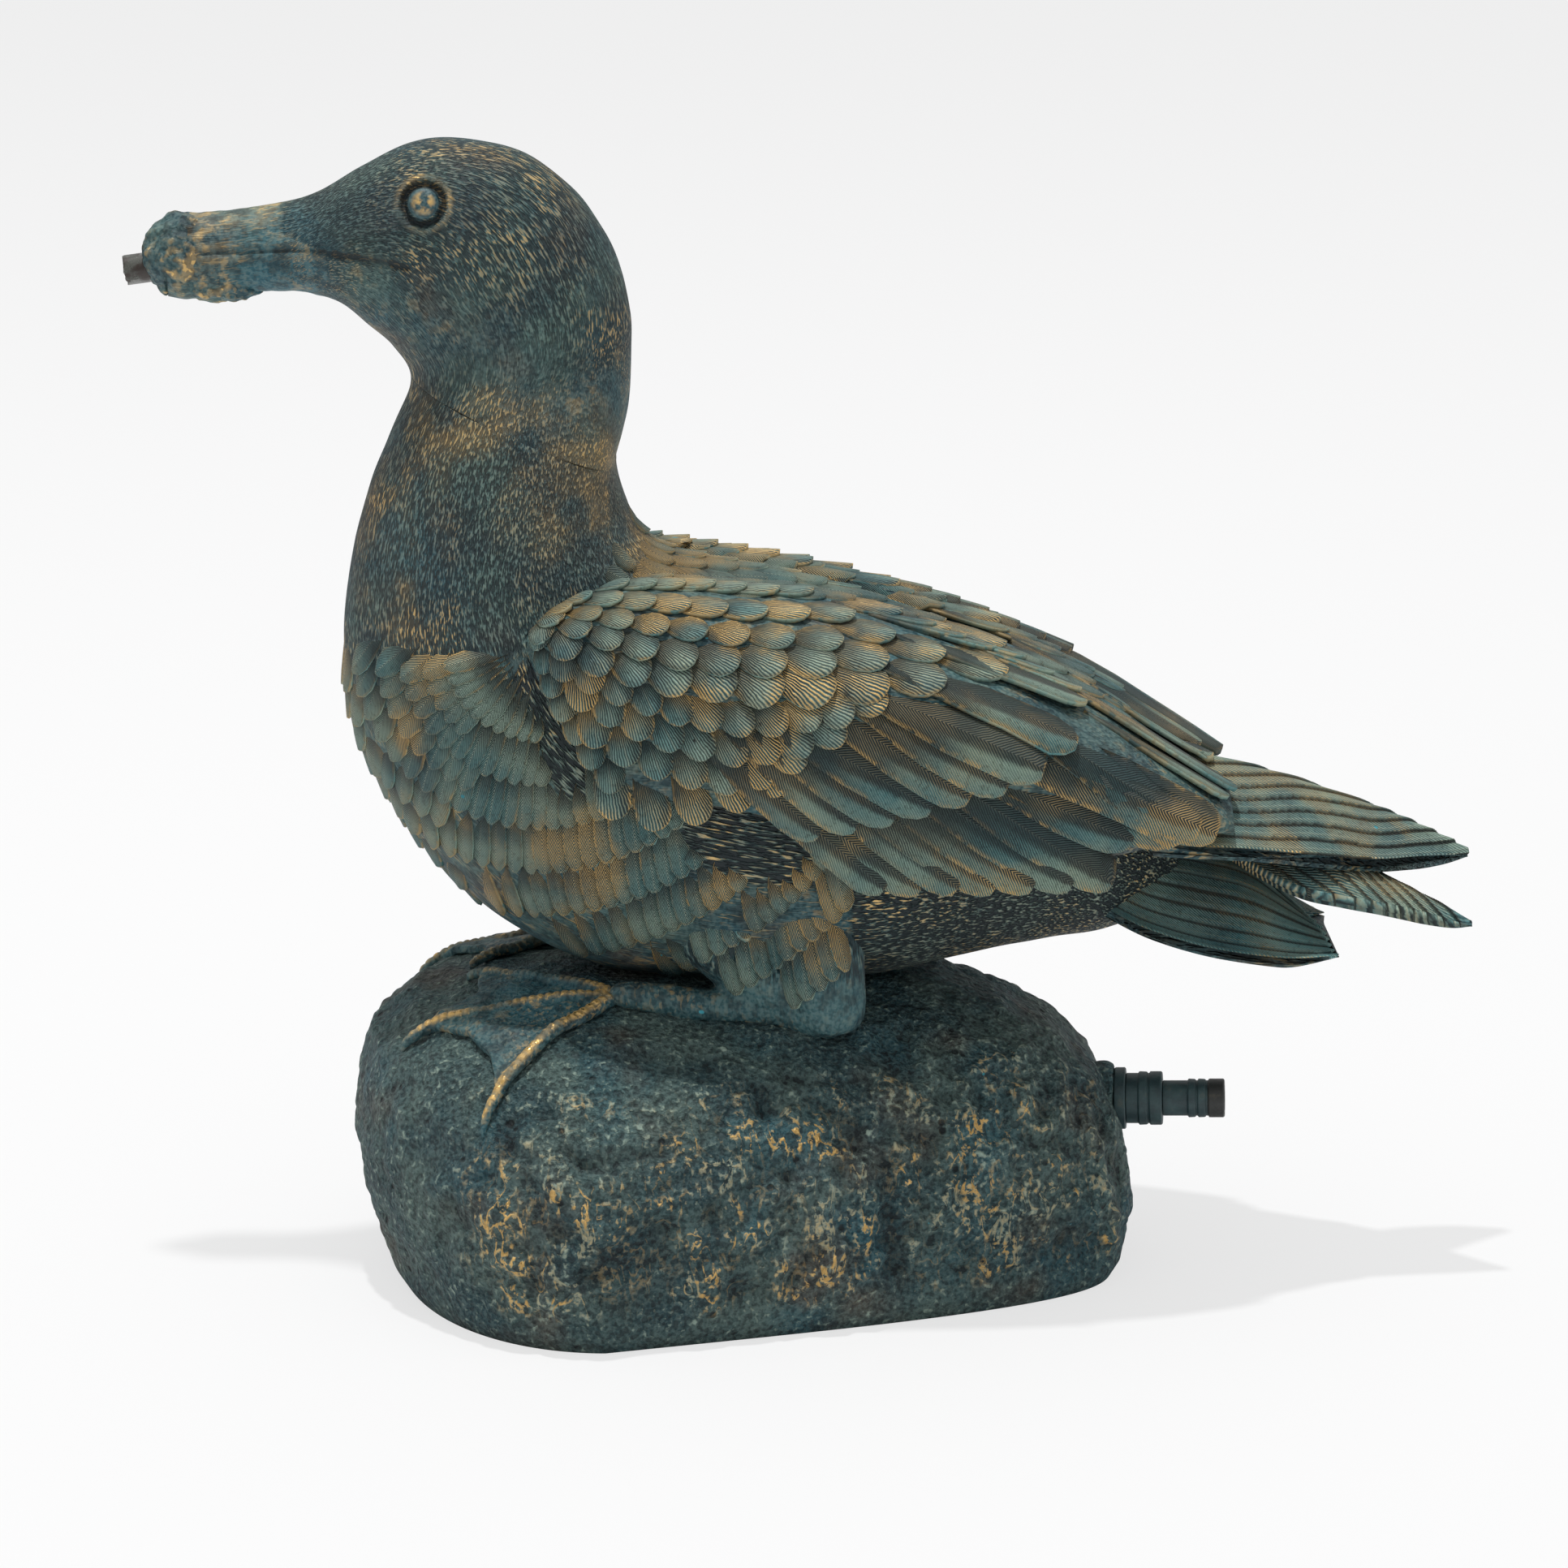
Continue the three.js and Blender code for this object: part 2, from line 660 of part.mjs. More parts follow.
// The putty's radius along its length, from inside the bill to its thin outer end.
const puttyShape = [
  [-0.46, 7.5], [0, 11.8], [0.23, 12.9], [0.5, 12.2], [0.73, 10.4], [0.9, 8.2], [1, 5.8],
];

function spoutSealGeometry() {
  const [x, height] = tubeRoute[tubeRoute.length - 1];
  const angles = span(0, 2 * Math.PI, 18).slice(0, 18);
  const rings = puttyShape.map(([along, radius], index) => angles.map((angle) => {
    const lump = 1 + 0.06 * Math.sin(3 * angle + 1.7 * index) + 0.04 * Math.cos(5 * angle - index);
    return new THREE.Vector3(
      x + sealOverlap - along * sealLength,
      0.86 * radius * lump * Math.sin(angle),
      perch + height + sealLift + radius * lump * Math.cos(angle),
    );
  }));
  return geometryOf(solidOf(loft(rings)).subtract(figureGrown).subtract(tubeBoreCut));
}

function tailSealGeometry() {
  const inner = hoseTailShank + clearance;
  const flange = flangeDiameter / 2;
  const back = -0.8 * rockWall;
  const bead = hoseTailPlaced(latheAbout([
    [back, inner], [back, flange + beadWidth], [-beadWidth, flange + beadWidth],
    [-clearance, flange + 0.5 * beadWidth], [-clearance, inner], [back, inner],
  ], 20));
  return geometryOf(solidOf(bead).subtract(rockGrown));
}

function clipGeometry() {
  const inner = tubeDiameter / 2 + 2 * clearance;
  const outer = inner + clipBand;
  const start = -innerLength - spigotLength + clipSetback;
  const band = hoseTailPlaced(latheAbout([
    [start, inner], [start, outer], [start + clipWidth, outer], [start + clipWidth, inner], [start, inner],
  ], 20));
  const lug = hoseTailPlaced(new THREE.BoxGeometry(lugSize, 0.75 * clipWidth, lugSize)
    .translate(outer + 0.4 * lugSize, start + clipWidth / 2, 0));
  return geometryOf(solidOf(band).add(solidOf(lug)));
}

// The closing plate fills the rock's hollow up to its own thickness.
function plateGeometry() {
  const size = 4 * rockFront;
  const slab = new THREE.BoxGeometry(size, size, plateThickness).translate(0, 0, plateThickness / 2);
  const filling = solidOf(rockSkin(rockWall + clearance, rockWall, -2));
  return geometryOf(filling.intersect(solidOf(slab)));
}

// The finished pieces.

const headSolid = figureSolid.subtract(belowCollar(clearance)).subtract(figureHollow)
  .subtract(tubeBoreCut).subtract(eyeCut).subtract(eyeCutRight);
const bodySolid = figureSolid.intersect(belowCollar(0)).subtract(figureHollow)
  .subtract(tubeBoreCut).subtract(dowelCut).subtract(dowelCutRight);
const rockSolid = solidOf(rockSkin(0, 0, 0)).subtract(solidOf(rockSkin(rockWall, rockWall, -2)))
  .subtract(figureGrown).subtract(tubeBoreCut).subtract(hoseTailCut)
  .subtract(dowelCut).subtract(dowelCutRight);

const verdigris = { color: 0x45585a, roughness: 0.62, metalness: 0.15 };
const rockFinish = { color: 0x42504f, roughness: 0.75, metalness: 0.1 };
const bronze = { color: 0x7d6a3f, roughness: 0.45, metalness: 0.4 };
const clearPlastic = { color: 0xa9aaa2, roughness: 0.25, metalness: 0 };
const plasticFitting = { color: 0x2f4a4e, roughness: 0.5, metalness: 0 };
const steel = { color: 0x9a9c9e, roughness: 0.35, metalness: 0.9 };
const putty = { color: 0x3c4a44, roughness: 0.6, metalness: 0 };
const plateFinish = { color: 0x3a3f40, roughness: 0.8, metalness: 0 };

const group = new THREE.Group();

function place(name, geometry, finish) {
  const mesh = new THREE.Mesh(geometry, new THREE.MeshStandardMaterial(finish));
  mesh.name = name;
  group.add(mesh);
}

const leftLeg = legGeometry();
const leftFoot = footGeometry();

place('rock_base', geometryOf(rockSolid), rockFinish);
place('base_plate', plateGeometry(), plateFinish);
place('duck_body', geometryOf(bodySolid), verdigris);
place('duck_head', geometryOf(headSolid), verdigris);
place('left_wing', geometryOf(leftWingSolid.subtract(figureGrown)), verdigris);
place('right_wing', geometryOf(rightWingSolid.subtract(figureGrown)), verdigris);
place('tail_fan', geometryOf(tailSolid), verdigris);
place('left_leg', leftLeg, verdigris);
place('right_leg', mirrored(leftLeg), verdigris);
place('left_foot', leftFoot, verdigris);
place('right_foot', mirrored(leftFoot), verdigris);
place('left_eye', eyeGeometry(0), bronze);
place('right_eye', mirrored(eyeGeometry(0)), bronze);
place('water_tube', tubeSkin, clearPlastic);
place('spout_seal', spoutSealGeometry(), putty);
place('hose_tail', hoseTailPlaced(hoseTailGeometry()), plasticFitting);
place('tail_seal', tailSealGeometry(), putty);
place('hose_clip', clipGeometry(), steel);
place('left_dowel', dowelGeometry(0), steel);
place('right_dowel', mirrored(dowelGeometry(0)), steel);

export default group;
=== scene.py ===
import json
import math
import random

import bmesh
import bpy
import numpy as np
from mathutils import Matrix, Vector, noise
from mathutils.bvhtree import BVHTree


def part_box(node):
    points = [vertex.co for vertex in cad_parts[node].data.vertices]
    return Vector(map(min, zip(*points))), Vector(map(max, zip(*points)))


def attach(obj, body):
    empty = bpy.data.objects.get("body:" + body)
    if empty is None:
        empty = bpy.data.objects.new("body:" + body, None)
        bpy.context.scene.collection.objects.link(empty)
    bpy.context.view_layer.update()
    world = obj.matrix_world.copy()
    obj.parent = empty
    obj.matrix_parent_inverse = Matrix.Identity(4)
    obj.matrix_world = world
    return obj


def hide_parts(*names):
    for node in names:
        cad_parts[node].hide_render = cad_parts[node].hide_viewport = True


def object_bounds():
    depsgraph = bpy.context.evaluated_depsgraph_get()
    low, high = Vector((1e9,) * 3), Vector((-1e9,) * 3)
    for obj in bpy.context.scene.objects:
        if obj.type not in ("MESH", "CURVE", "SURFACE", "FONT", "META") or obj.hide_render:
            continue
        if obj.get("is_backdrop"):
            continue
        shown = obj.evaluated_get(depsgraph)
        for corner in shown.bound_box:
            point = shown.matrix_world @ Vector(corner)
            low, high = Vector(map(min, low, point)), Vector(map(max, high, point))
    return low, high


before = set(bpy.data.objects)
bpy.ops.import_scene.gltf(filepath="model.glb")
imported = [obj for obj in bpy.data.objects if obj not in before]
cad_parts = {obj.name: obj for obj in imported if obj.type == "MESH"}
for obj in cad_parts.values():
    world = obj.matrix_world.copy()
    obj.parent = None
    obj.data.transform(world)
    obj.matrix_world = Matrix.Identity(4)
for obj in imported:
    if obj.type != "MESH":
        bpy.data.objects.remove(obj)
cad_low, cad_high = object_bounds()

# The studio: a camera a little above the bird's shoulder, one soft overhead lamp, an
# even white room, and pale paper that runs out behind the figure.
def placed(name, data):
    """A new object in the scene."""
    made = bpy.data.objects.new(name, data)
    bpy.context.collection.objects.link(made)
    return made


lens_point = Vector((0.0057, -1.7427, 0.6243))
camera = placed("camera", bpy.data.cameras.new("camera"))
camera.data.lens = 117.8
camera.data.sensor_width = 36
camera.location = lens_point
camera.rotation_euler = (math.radians(75.5), 0, 0)
bpy.context.scene.camera = camera
bpy.context.scene.view_settings.view_transform = "Standard"

lamp = placed("overhead_lamp", bpy.data.lights.new("overhead_lamp", "AREA"))
lamp.data.shape = "DISK"
lamp.data.size = 0.14
lamp.data.energy = 92
lamp.location = (-0.231, -0.06, 3.676)


def paint(red, green, blue):
    """A colour as it looks on screen, 0 to 255, turned into light values."""
    shares = (red / 255, green / 255, blue / 255)
    return tuple(s / 12.92 if s < 0.04045 else ((s + 0.055) / 1.055) ** 2.4 for s in shares) + (1.0,)


class Wire:
    """One socket of a material, which can be added, multiplied and so on like a number."""

    tree = None

    def __init__(self, socket):
        self.socket = socket

    @classmethod
    def node(cls, kind, settings, sockets):
        made = cls.tree.nodes.new(kind)
        for name, value in settings.items():
            setattr(made, name, value)
        for name, value in sockets.items():
            entry = made.inputs[name]
            if isinstance(value, Wire):
                cls.tree.links.new(value.socket, entry)
            else:
                entry.default_value = value
        return cls(next(socket for socket in made.outputs if socket.enabled))

    def other(self, name):
        return Wire(self.socket.node.outputs[name])

    @classmethod
    def maths(cls, operation, *values):
        return cls.node("ShaderNodeMath", {"operation": operation}, dict(enumerate(values)))

    def __add__(self, value):
        return Wire.maths("ADD", self, value)

    def __sub__(self, value):
        return Wire.maths("SUBTRACT", self, value)

    def __mul__(self, value):
        return Wire.maths("MULTIPLY", self, value)

    def __radd__(self, value):
        return Wire.maths("ADD", value, self)

    def __rsub__(self, value):
        return Wire.maths("SUBTRACT", value, self)

    def __rmul__(self, value):
        return Wire.maths("MULTIPLY", value, self)

    def __abs__(self):
        return Wire.maths("ABSOLUTE", self)

    def clipped(self, high=1.0):
        return Wire.node("ShaderNodeClamp", {}, {"Value": self, "Max": high})

    def between(self, low, high):
        """0 at low and 1 at high, with a smooth step between them."""
        return Wire.node("ShaderNodeMapRange", {"interpolation_type": "SMOOTHSTEP"},
                         {"Value": self, "From Min": low, "From Max": high})

    def towards(self, first, second):
        """Two colours mixed, with this wire as the share of the second one."""
        return Wire.node("ShaderNodeMix", {"data_type": "RGBA"}, {0: self, 6: first, 7: second})


def blank_finish(name):
    """A new material and its shader, ready to be wired."""
    finish = bpy.data.materials.new(name)
    finish.use_nodes = True
    Wire.tree = finish.node_tree
    return finish, finish.node_tree.nodes["Principled BSDF"]


paper, paper_shader = blank_finish("studio_paper")
paper_shader.inputs["Base Color"].default_value = (0.9, 0.9, 0.905, 1)
paper_shader.inputs["Roughness"].default_value = 0.9
glow = paper.node_tree.nodes.new("ShaderNodeEmission")
glow.inputs["Strength"].default_value = 0.9
seen = Wire.node("ShaderNodeLightPath", {}, {}).other("Is Camera Ray")
paper_glow = 0.76
blend = Wire.node("ShaderNodeMixShader", {}, {
    0: seen * paper_glow, 1: Wire(paper_shader.outputs[0]), 2: Wire(glow.outputs[0])})
paper.node_tree.links.new(blend.socket, paper.node_tree.nodes["Material Output"].inputs["Surface"])
net = bmesh.new()
half_paper = 14
bmesh.ops.create_grid(net, x_segments=1, y_segments=1, size=half_paper)
floor = placed("floor", bpy.data.meshes.new("floor"))
net.to_mesh(floor.data)
net.free()
floor.data.materials.append(paper)
floor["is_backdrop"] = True

room = bpy.data.worlds.new("white_room")
bpy.context.scene.world = room
room.use_nodes = True
Wire.tree = room.node_tree
upward = Wire.node("ShaderNodeSeparateXYZ", {}, {
    0: Wire.node("ShaderNodeTexCoord", {}, {}).other("Generated")}).other("Z")
room_light = upward.between(-0.3, 1.0) * 0.46 + 0.34
seen_straight = Wire.node("ShaderNodeLightPath", {}, {}).other("Is Camera Ray")
backdrop_white = 0.955
room_strength = seen_straight * (backdrop_white - room_light) + room_light
room.node_tree.links.new(room_strength.socket, room.node_tree.nodes["Background"].inputs["Strength"])
room.node_tree.nodes["Background"].inputs["Color"].default_value = (1, 1, 1, 1)

# The bird's skin: head, neck and trunk are hollow castings in filled resin, with short
# plume strokes cut into the pattern. A brown undercoat, a green-blue wash and a rub of
# bronze on all that stands proud are brushed on after moulding.
figure = np.array([
    [146, 46, 138, 20, 12, 0.5], [128, 70, 121, 12.5, 25, 0.5], [100, 99, 95, 8.5, 39, 0.52],
    [70, 116, 68, 3.5, 51, 0.54], [38, 130.5, 40, -2, 61, 0.56], [5, 139.5, 8, -5, 66, 0.56],
    [-20, 144.5, -27, -4, 67, 0.54], [-36, 149, -61, 1, 66, 0.52], [-45, 156.5, -92, 16, 64, 0.5],
    [-49, 165, -118, 39.5, 60.5, 0.48], [-51.5, 173, -135, 64.5, 56, 0.46],
    [-52, 180.5, -144.8, 88, 52, 0.45], [-50, 189, -147.6, 113, 47.5, 0.45],
    [-48, 199, -145.3, 138, 43, 0.46], [-47, 209, -139.8, 163, 39.5, 0.48],
    [-46.7, 219, -131, 187, 36, 0.5], [-46.8, 230, -122.5, 207.5, 34, 0.5],
    [-49.5, 243.5, -128.3, 219.6, 32.5, 0.48], [-56, 259, -138, 227.8, 31.5, 0.46],
    [-67, 273.5, -145, 233.5, 30.5, 0.44], [-84, 285.2, -150, 236, 29.5, 0.42],
    [-103, 289.7, -154, 237, 28, 0.42], [-121, 288.4, -159, 238.1, 25, 0.44],
    [-138, 280.7, -165, 238.2, 20.5, 0.46], [-153, 272, -172, 238, 15.5, 0.5],
    [-166, 268, -180, 237.6, 12.8, 0.5], [-181, 265.8, -189, 236, 12, 0.5],
    [-195, 264.8, -198, 234.8, 12, 0.5], [-204, 263, -205, 236, 10.5, 0.5]])
figure[:, :5] /= 1000
perch = 0.11
collar_point = Vector((-0.087, 0, perch + 0.194))
collar_normal = Vector((math.sin(math.radians(23.5)), 0, math.cos(math.radians(23.5))))


def curve_at(a, b, c, d, part):
    """A part of the way along the smooth curve from b to c, bent by its neighbours a and d."""
    bend = (2 * a - 5 * b + 4 * c - d) * part + (3 * b - a - 3 * c + d) * part * part
    return b + 0.5 * part * (c - a + bend)


def row_at(table, place):
    """Rows of a table at fractional places, on a smooth curve through all its rows."""
    place = np.atleast_1d(np.asarray(place, float))
    first = np.clip(np.floor(place).astype(int), 0, len(table) - 2)
    part = (place - first)[:, None]
    rows = (table[np.clip(first + ahead, 0, len(table) - 1)] for ahead in (-1, 0, 1, 2))
    return curve_at(*rows, part)


def row_along(table, share):
    """Rows of a table at shares of the way from its first row to its last."""
    return row_at(table, share * (len(table) - 1))


def figure_at(place, angle):
    """Points of the bird's skin: place along the figure, and angle round it from the back."""
    back_x, back_z, belly_x, belly_z, half, widest = row_at(figure, place).T
    share = ((1 - np.cos(angle)) / 2) ** (np.log(widest) / np.log(0.5))
    return np.stack([back_x + (belly_x - back_x) * share, np.sin(angle) * half,
                     perch + back_z + (belly_z - back_z) * share], axis=1)


figure_places = np.linspace(0, len(figure) - 1, 400)
figure_rows = row_at(figure, figure_places)
spine = (figure_rows[:, 0:2] + figure_rows[:, 2:4]) / 2
spine_length = np.concatenate([[0], np.cumsum(np.hypot(*np.diff(spine, axis=0).T))])


def rolled(around, along, place_of):
    """A grid rolled up into a skin. Each vertex keeps its turn round and way along the skin."""
    net = bmesh.new()
    bmesh.ops.create_grid(net, x_segments=around, y_segments=along, size=0.5)
    flat = np.array([vertex.co for vertex in net.verts])
    turn, way = flat[:, 0] + 0.5, flat[:, 1] + 0.5
    turn_layer = net.verts.layers.float.new("turn")
    way_layer = net.verts.layers.float.new("way")
    for vertex, point, t, w in zip(net.verts, place_of(turn, way), turn, way):
        vertex.co = point
        vertex[turn_layer] = t
        vertex[way_layer] = w
    bmesh.ops.remove_doubles(net, verts=net.verts, dist=1e-6)
    bmesh.ops.recalc_face_normals(net, faces=net.faces)
    return net


def closed_ends(net):
    rim = [edge for edge in net.edges if edge.is_boundary]
    bmesh.ops.holes_fill(net, edges=rim, sides=0)
    bmesh.ops.recalc_face_normals(net, faces=net.faces)


def shown(name, net, *finishes):
    """The piece made from a bmesh, smooth, with its finish, riding on the figure."""
    mesh = bpy.data.meshes.new(name)
    net.to_mesh(mesh)
    net.free()
    for finish in finishes:
        mesh.materials.append(finish)
    mesh.polygons.foreach_set("use_smooth", [True] * len(mesh.polygons))
    piece = placed(name, mesh)
    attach(piece, "root")
    return piece


def net_of(mesh):
    net = bmesh.new()
    net.from_mesh(mesh)
    return net


def flipped(net):
    """Turns a bmesh into its mirror image on the bird's other side."""
    for vertex in net.verts:
        vertex.co.y = -vertex.co.y
    bmesh.ops.reverse_faces(net, faces=net.faces[:])
    return net


def mirror_copy(piece, name):
    """The same piece on the bird's other side."""
    return shown(name, flipped(net_of(piece.data)), *piece.data.materials)


def kept(mesh, name):
    values = np.empty(len(mesh.vertices))
    mesh.attributes[name].data.foreach_get("value", values)
    return values


def points_of(mesh):
    flat = np.empty(len(mesh.vertices) * 3)
    mesh.vertices.foreach_get("co", flat)
    return flat.reshape(-1, 3)


def normals_of(mesh):
    flat = np.empty(len(mesh.vertices) * 3)
    mesh.vertex_normals.foreach_get("vector", flat)
    return flat.reshape(-1, 3)


def moved(mesh, amounts):
    """Pushes every vertex out along its normal."""
    points = points_of(mesh)
    mesh.vertices.foreach_set("co", (points + normals_of(mesh) * amounts[:, None]).ravel())


def painted(mesh, name, values):
    """Writes a number or a vector per vertex, or one number for all, for the material to read."""
    if np.ndim(values) == 0:
        values = np.full(len(mesh.vertices), values)
    kind, field = ("FLOAT", "value") if values.ndim == 1 else ("FLOAT_VECTOR", "vector")
    layer = mesh.attributes.get(name) or mesh.attributes.new(name, kind, "POINT")
    layer.data.foreach_set(field, np.ascontiguousarray(values, dtype=float).ravel())


def swell(points, size, seed=0.0):
    """Soft noise at each point, about -1 to 1, with lumps of one size."""
    shift = Vector((seed, 2 * seed, 3 * seed))
    return np.array([noise.noise(Vector(point) / size + shift) for point in points])


def step(values, low, high):
    share = np.clip((values - low) / (high - low), 0, 1)
    return share * share * (3 - 2 * share)


def own_place():
    """A point's place on its own piece."""
    return Wire.node("ShaderNodeTexCoord", {}, {}).other("Object")


def speckle(place, scale, detail=2.0):
    """Soft noise from 0 to 1 that follows the piece."""
    return Wire.node("ShaderNodeTexNoise", {}, {"Vector": place, "Scale": scale, "Detail": detail})


def bumped(strength, distance, height):
    return Wire.node("ShaderNodeBump", {}, {
        "Strength": strength, "Distance": distance, "Height": height})


def fed(shader, wires):
    """Links each wire to the shader's socket of that name."""
    for socket, wire in wires.items():
        Wire.tree.links.new(wire.socket, shader.inputs[socket])


def verdigris(name, relief, rub=1.0, brown=1.0, depth=0.0006, damp=0.55,
              deep=(30, 64, 72), pale=(66, 95, 92), frost=0.4):
    """The figure's paint. relief() gives three wires: height, what stands proud, and hollows, which take
    the dark wash and, on the scales, painted shade.
    """
    finish, shader = blank_finish(name)
    place = own_place()
    height, proud, hollow = relief(place)
    grit = speckle(place, 700.0, 1.0)
    wash = speckle(place, 38.0, 3.0).between(0.35, 0.65)
    blue = speckle(place, 24.0, 3.0).between(0.46, 0.7)
    bare = speckle(place, 31.0, 4.0).between(0.52, 0.72) * brown
    rubbed = proud * (speckle(place, 45.0, 5.0).between(0.42, 0.62) * 0.85 + 0.15) * rub
    drop = speckle(place, 260.0, 0.0).between(0.9, 0.91)
    ground = wash.towards(paint(*deep), paint(*pale))
    for share, coat in ((blue * 0.75, (22, 84, 98)), (bare * 0.7, (80, 70, 60)),
                        (grit.between(0.4, 0.62) * 0.22, (128, 150, 144)),
                        ((1.0 - grit.between(0.3, 0.45)) * 0.4, (24, 40, 42)),
                        (height.between(0.65, 1.15) * frost, (150, 168, 154)),
                        (hollow * 0.94, (7, 20, 24)), (rubbed, (212, 176, 112)),
                        (drop, (60, 150, 165))):
        ground = share.towards(ground, paint(*coat))
    fed(shader, {"Base Color": ground, "Roughness": damp + grit * 0.2 - rubbed * 0.15,
                 "Metallic": rubbed * 0.5, "Normal": bumped(1.0, depth, height + grit * 0.12)})
    shader.inputs["Specular IOR Level"].default_value = 0.4
    return finish


def named(attribute, output):
    return Wire.node("ShaderNodeAttribute", {"attribute_name": attribute}, {}).other(output)


def plume_strokes(place):
    """Short raised strokes that run along the body, coarse and deep where no scales lie."""
    grain = named("grain", "Vector")
    coarse = named("coarse", "Fac")
    bald = named("bald", "Fac")
    fine = speckle(grain, 1.0, 1.0)
    broad = speckle(grain, 0.78, 1.0)
    stroke = fine + coarse * (broad - fine)
    height = (stroke - coarse * 0.05).between(0.36, 0.62) * (1.0 - bald * 0.9) * (0.75 + coarse * 0.9)
    crest = (stroke - coarse * 0.04).between(0.56, 0.63)
    patch = speckle(place, 34.0, 3.0).between(0.44, 0.62)
    proud = crest * (1.0 - bald * 0.6) * (0.2 + patch * 0.45 + coarse * 0.45)
    proud = proud + named("proud", "Fac") * (0.4 + crest * 0.6)
    mottle = speckle(place, 170.0, 4.0)
    proud = proud + bald * mottle.between(0.56, 0.66) * 0.3
    hollow = (1.0 - (stroke - coarse * 0.05).between(0.42, 0.56)) * (1.0 - bald) * (0.85 + coarse * 0.15)
    hollow = hollow + bald * (1.0 - mottle.between(0.38, 0.52)) * 0.55 + named("deep", "Fac")
    return height, proud.clipped(3.0), hollow.clipped()


plumage = verdigris("verdigris_plumage", plume_strokes, depth=0.0013, frost=0.3)


trunk_last = 18.5


def trunk_place(turn, way):
    return figure_at(way * trunk_last, turn * 2 * math.pi)


neck_edge = np.array([[-0.1451, 0.2221], [-0.1223, 0.2314], [-0.0806, 0.2387], [-0.0667, 0.2371]])


def neck_line(points):
    """How far a point lies under the line where the short plumes of the neck end, in metres."""
    return np.interp(points[:, 0], neck_edge[:, 0], neck_edge[:, 1]) - points[:, 2]


def dressed_skin(mesh, place, angle, long=0.0050):
    """The grain of the bird's skin, along the figure and round it."""
    rows = row_at(figure, place)
    radius = np.sqrt(rows[:, 4] * np.hypot(rows[:, 2] - rows[:, 0], rows[:, 3] - rows[:, 1]) / 2)
    along = np.interp(place, figure_places, spine_length)
    painted(mesh, "grain", np.stack([along / long, radius * np.cos(angle) / 0.00066,
                                     radius * np.sin(angle) / 0.00066], axis=1))


net = rolled(240, 300, trunk_place)
bmesh.ops.bisect_plane(net, geom=net.verts[:] + net.edges[:] + net.faces[:], dist=1e-7,
                       plane_co=collar_point, plane_no=collar_normal, clear_outer=True)
closed_ends(net)
trunk = shown("duck_body_skin", net, plumage)
trunk_points = points_of(trunk.data)
dressed_skin(trunk.data, kept(trunk.data, "way") * trunk_last, kept(trunk.data, "turn") * 2 * math.pi)
under = neck_line(trunk_points)
painted(trunk.data, "coarse", step(under, -0.002, 0.006))


def spot_at(points, x, z, wide, high):
    """1 at a place seen from the side, fading out over its width and height."""
    return np.exp(-((points[:, 0] - x) / wide) ** 2 - ((points[:, 2] - z) / high) ** 2)


def above_collar(points):
    return (points - np.array(collar_point)) @ np.array(collar_normal)


def neck_rub(points, rise, spread):
    """Bronze rubbed on the nape, at a rise over the collar, on the throat and on the front."""
    nape = np.exp(-((above_collar(points) - rise) / spread) ** 2)
    nape *= step(points[:, 0], -0.105, -0.06)
    throat = spot_at(points, -0.106, 0.306, 0.016, 0.013)
    worn = nape * 0.9 + throat + 0.8 * spot_at(points, -0.124, 0.264, 0.014, 0.024)
    patches = 0.35 + 0.65 * step(swell(points, 0.012, 3.1), -0.4, 0.4)
    return np.clip(worn, 0, 1) * patches * 0.7


painted(trunk.data, "proud", neck_rub(trunk_points, -0.012, 0.018))
painted(trunk.data, "bald", 0.0)
moved(trunk.data, 0.0005 * swell(trunk_points, 0.017, 2.2))
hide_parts("duck_body")

# The head is cast with the upper neck and seated on the trunk at a sealed collar. Round
# the eye runs a deep ring under a rubbed brow, and the bill is smooth behind its sealed tip.
mouth_line = np.array([
    [-0.1915, 0.3625], [-0.1777, 0.3631], [-0.1636, 0.3640], [-0.1523, 0.3649],
    [-0.1457, 0.3642], [-0.1381, 0.3630], [-0.1270, 0.3616], [-0.1215, 0.3604]])
bill_edge = np.array([
    [-0.1522, 0.3493], [-0.1496, 0.3535], [-0.1490, 0.3590], [-0.1494, 0.3650],
    [-0.1647, 0.3696], [-0.1649, 0.3747], [-0.1649, 0.3771]])


head_first = 10.5
head_span = len(figure) - 1 - head_first


def head_place(turn, way):
    return figure_at(head_first + way * head_span, turn * 2 * math.pi)


def line_gap(points, line):
    """Distance from each point, seen from the side, to a line of short stretches."""
    flat = points[:, [0, 2]]
    gaps = []
    for start, end in zip(line[:-1], line[1:]):
        along = end - start
        share = np.clip(((flat - start) @ along) / (along @ along), 0, 1)
        gaps.append(np.linalg.norm(flat - start - share[:, None] * along, axis=1))
    return np.min(gaps, axis=0)


net = rolled(260, 330, head_place)
near = [face for face in net.faces if face.calc_center_median().x > -0.152]
parts = dict.fromkeys(near)
for face in near:
    parts.update(dict.fromkeys([*face.edges, *face.verts]))
bmesh.ops.bisect_plane(net, geom=list(parts), dist=1e-7, plane_co=collar_point + collar_normal * 0.00003,
                       plane_no=collar_normal, clear_inner=True)
closed_ends(net)
head = shown("duck_head_skin", net, plumage)
head_points = points_of(head.data)
head_way = head_first + kept(head.data, "way") * head_span
dressed_skin(head.data, head_way, kept(head.data, "turn") * 2 * math.pi, 0.0034)
eye_corners = [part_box("left_eye"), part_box("right_eye")]
eye_centres = [np.array((low + high) / 2) for low, high in eye_corners]
eye_gap = np.min([np.linalg.norm(head_points - centre, axis=1) for centre in eye_centres], axis=0)
mouth_gap = line_gap(head_points, mouth_line)
mouth_side = step(np.abs(head_points[:, 1]), 0.004, 0.008)
bill_side = np.interp(head_points[:, 2], bill_edge[:, 1], bill_edge[:, 0])
bald = step(bill_side - head_points[:, 0], -0.0012, 0.0022)
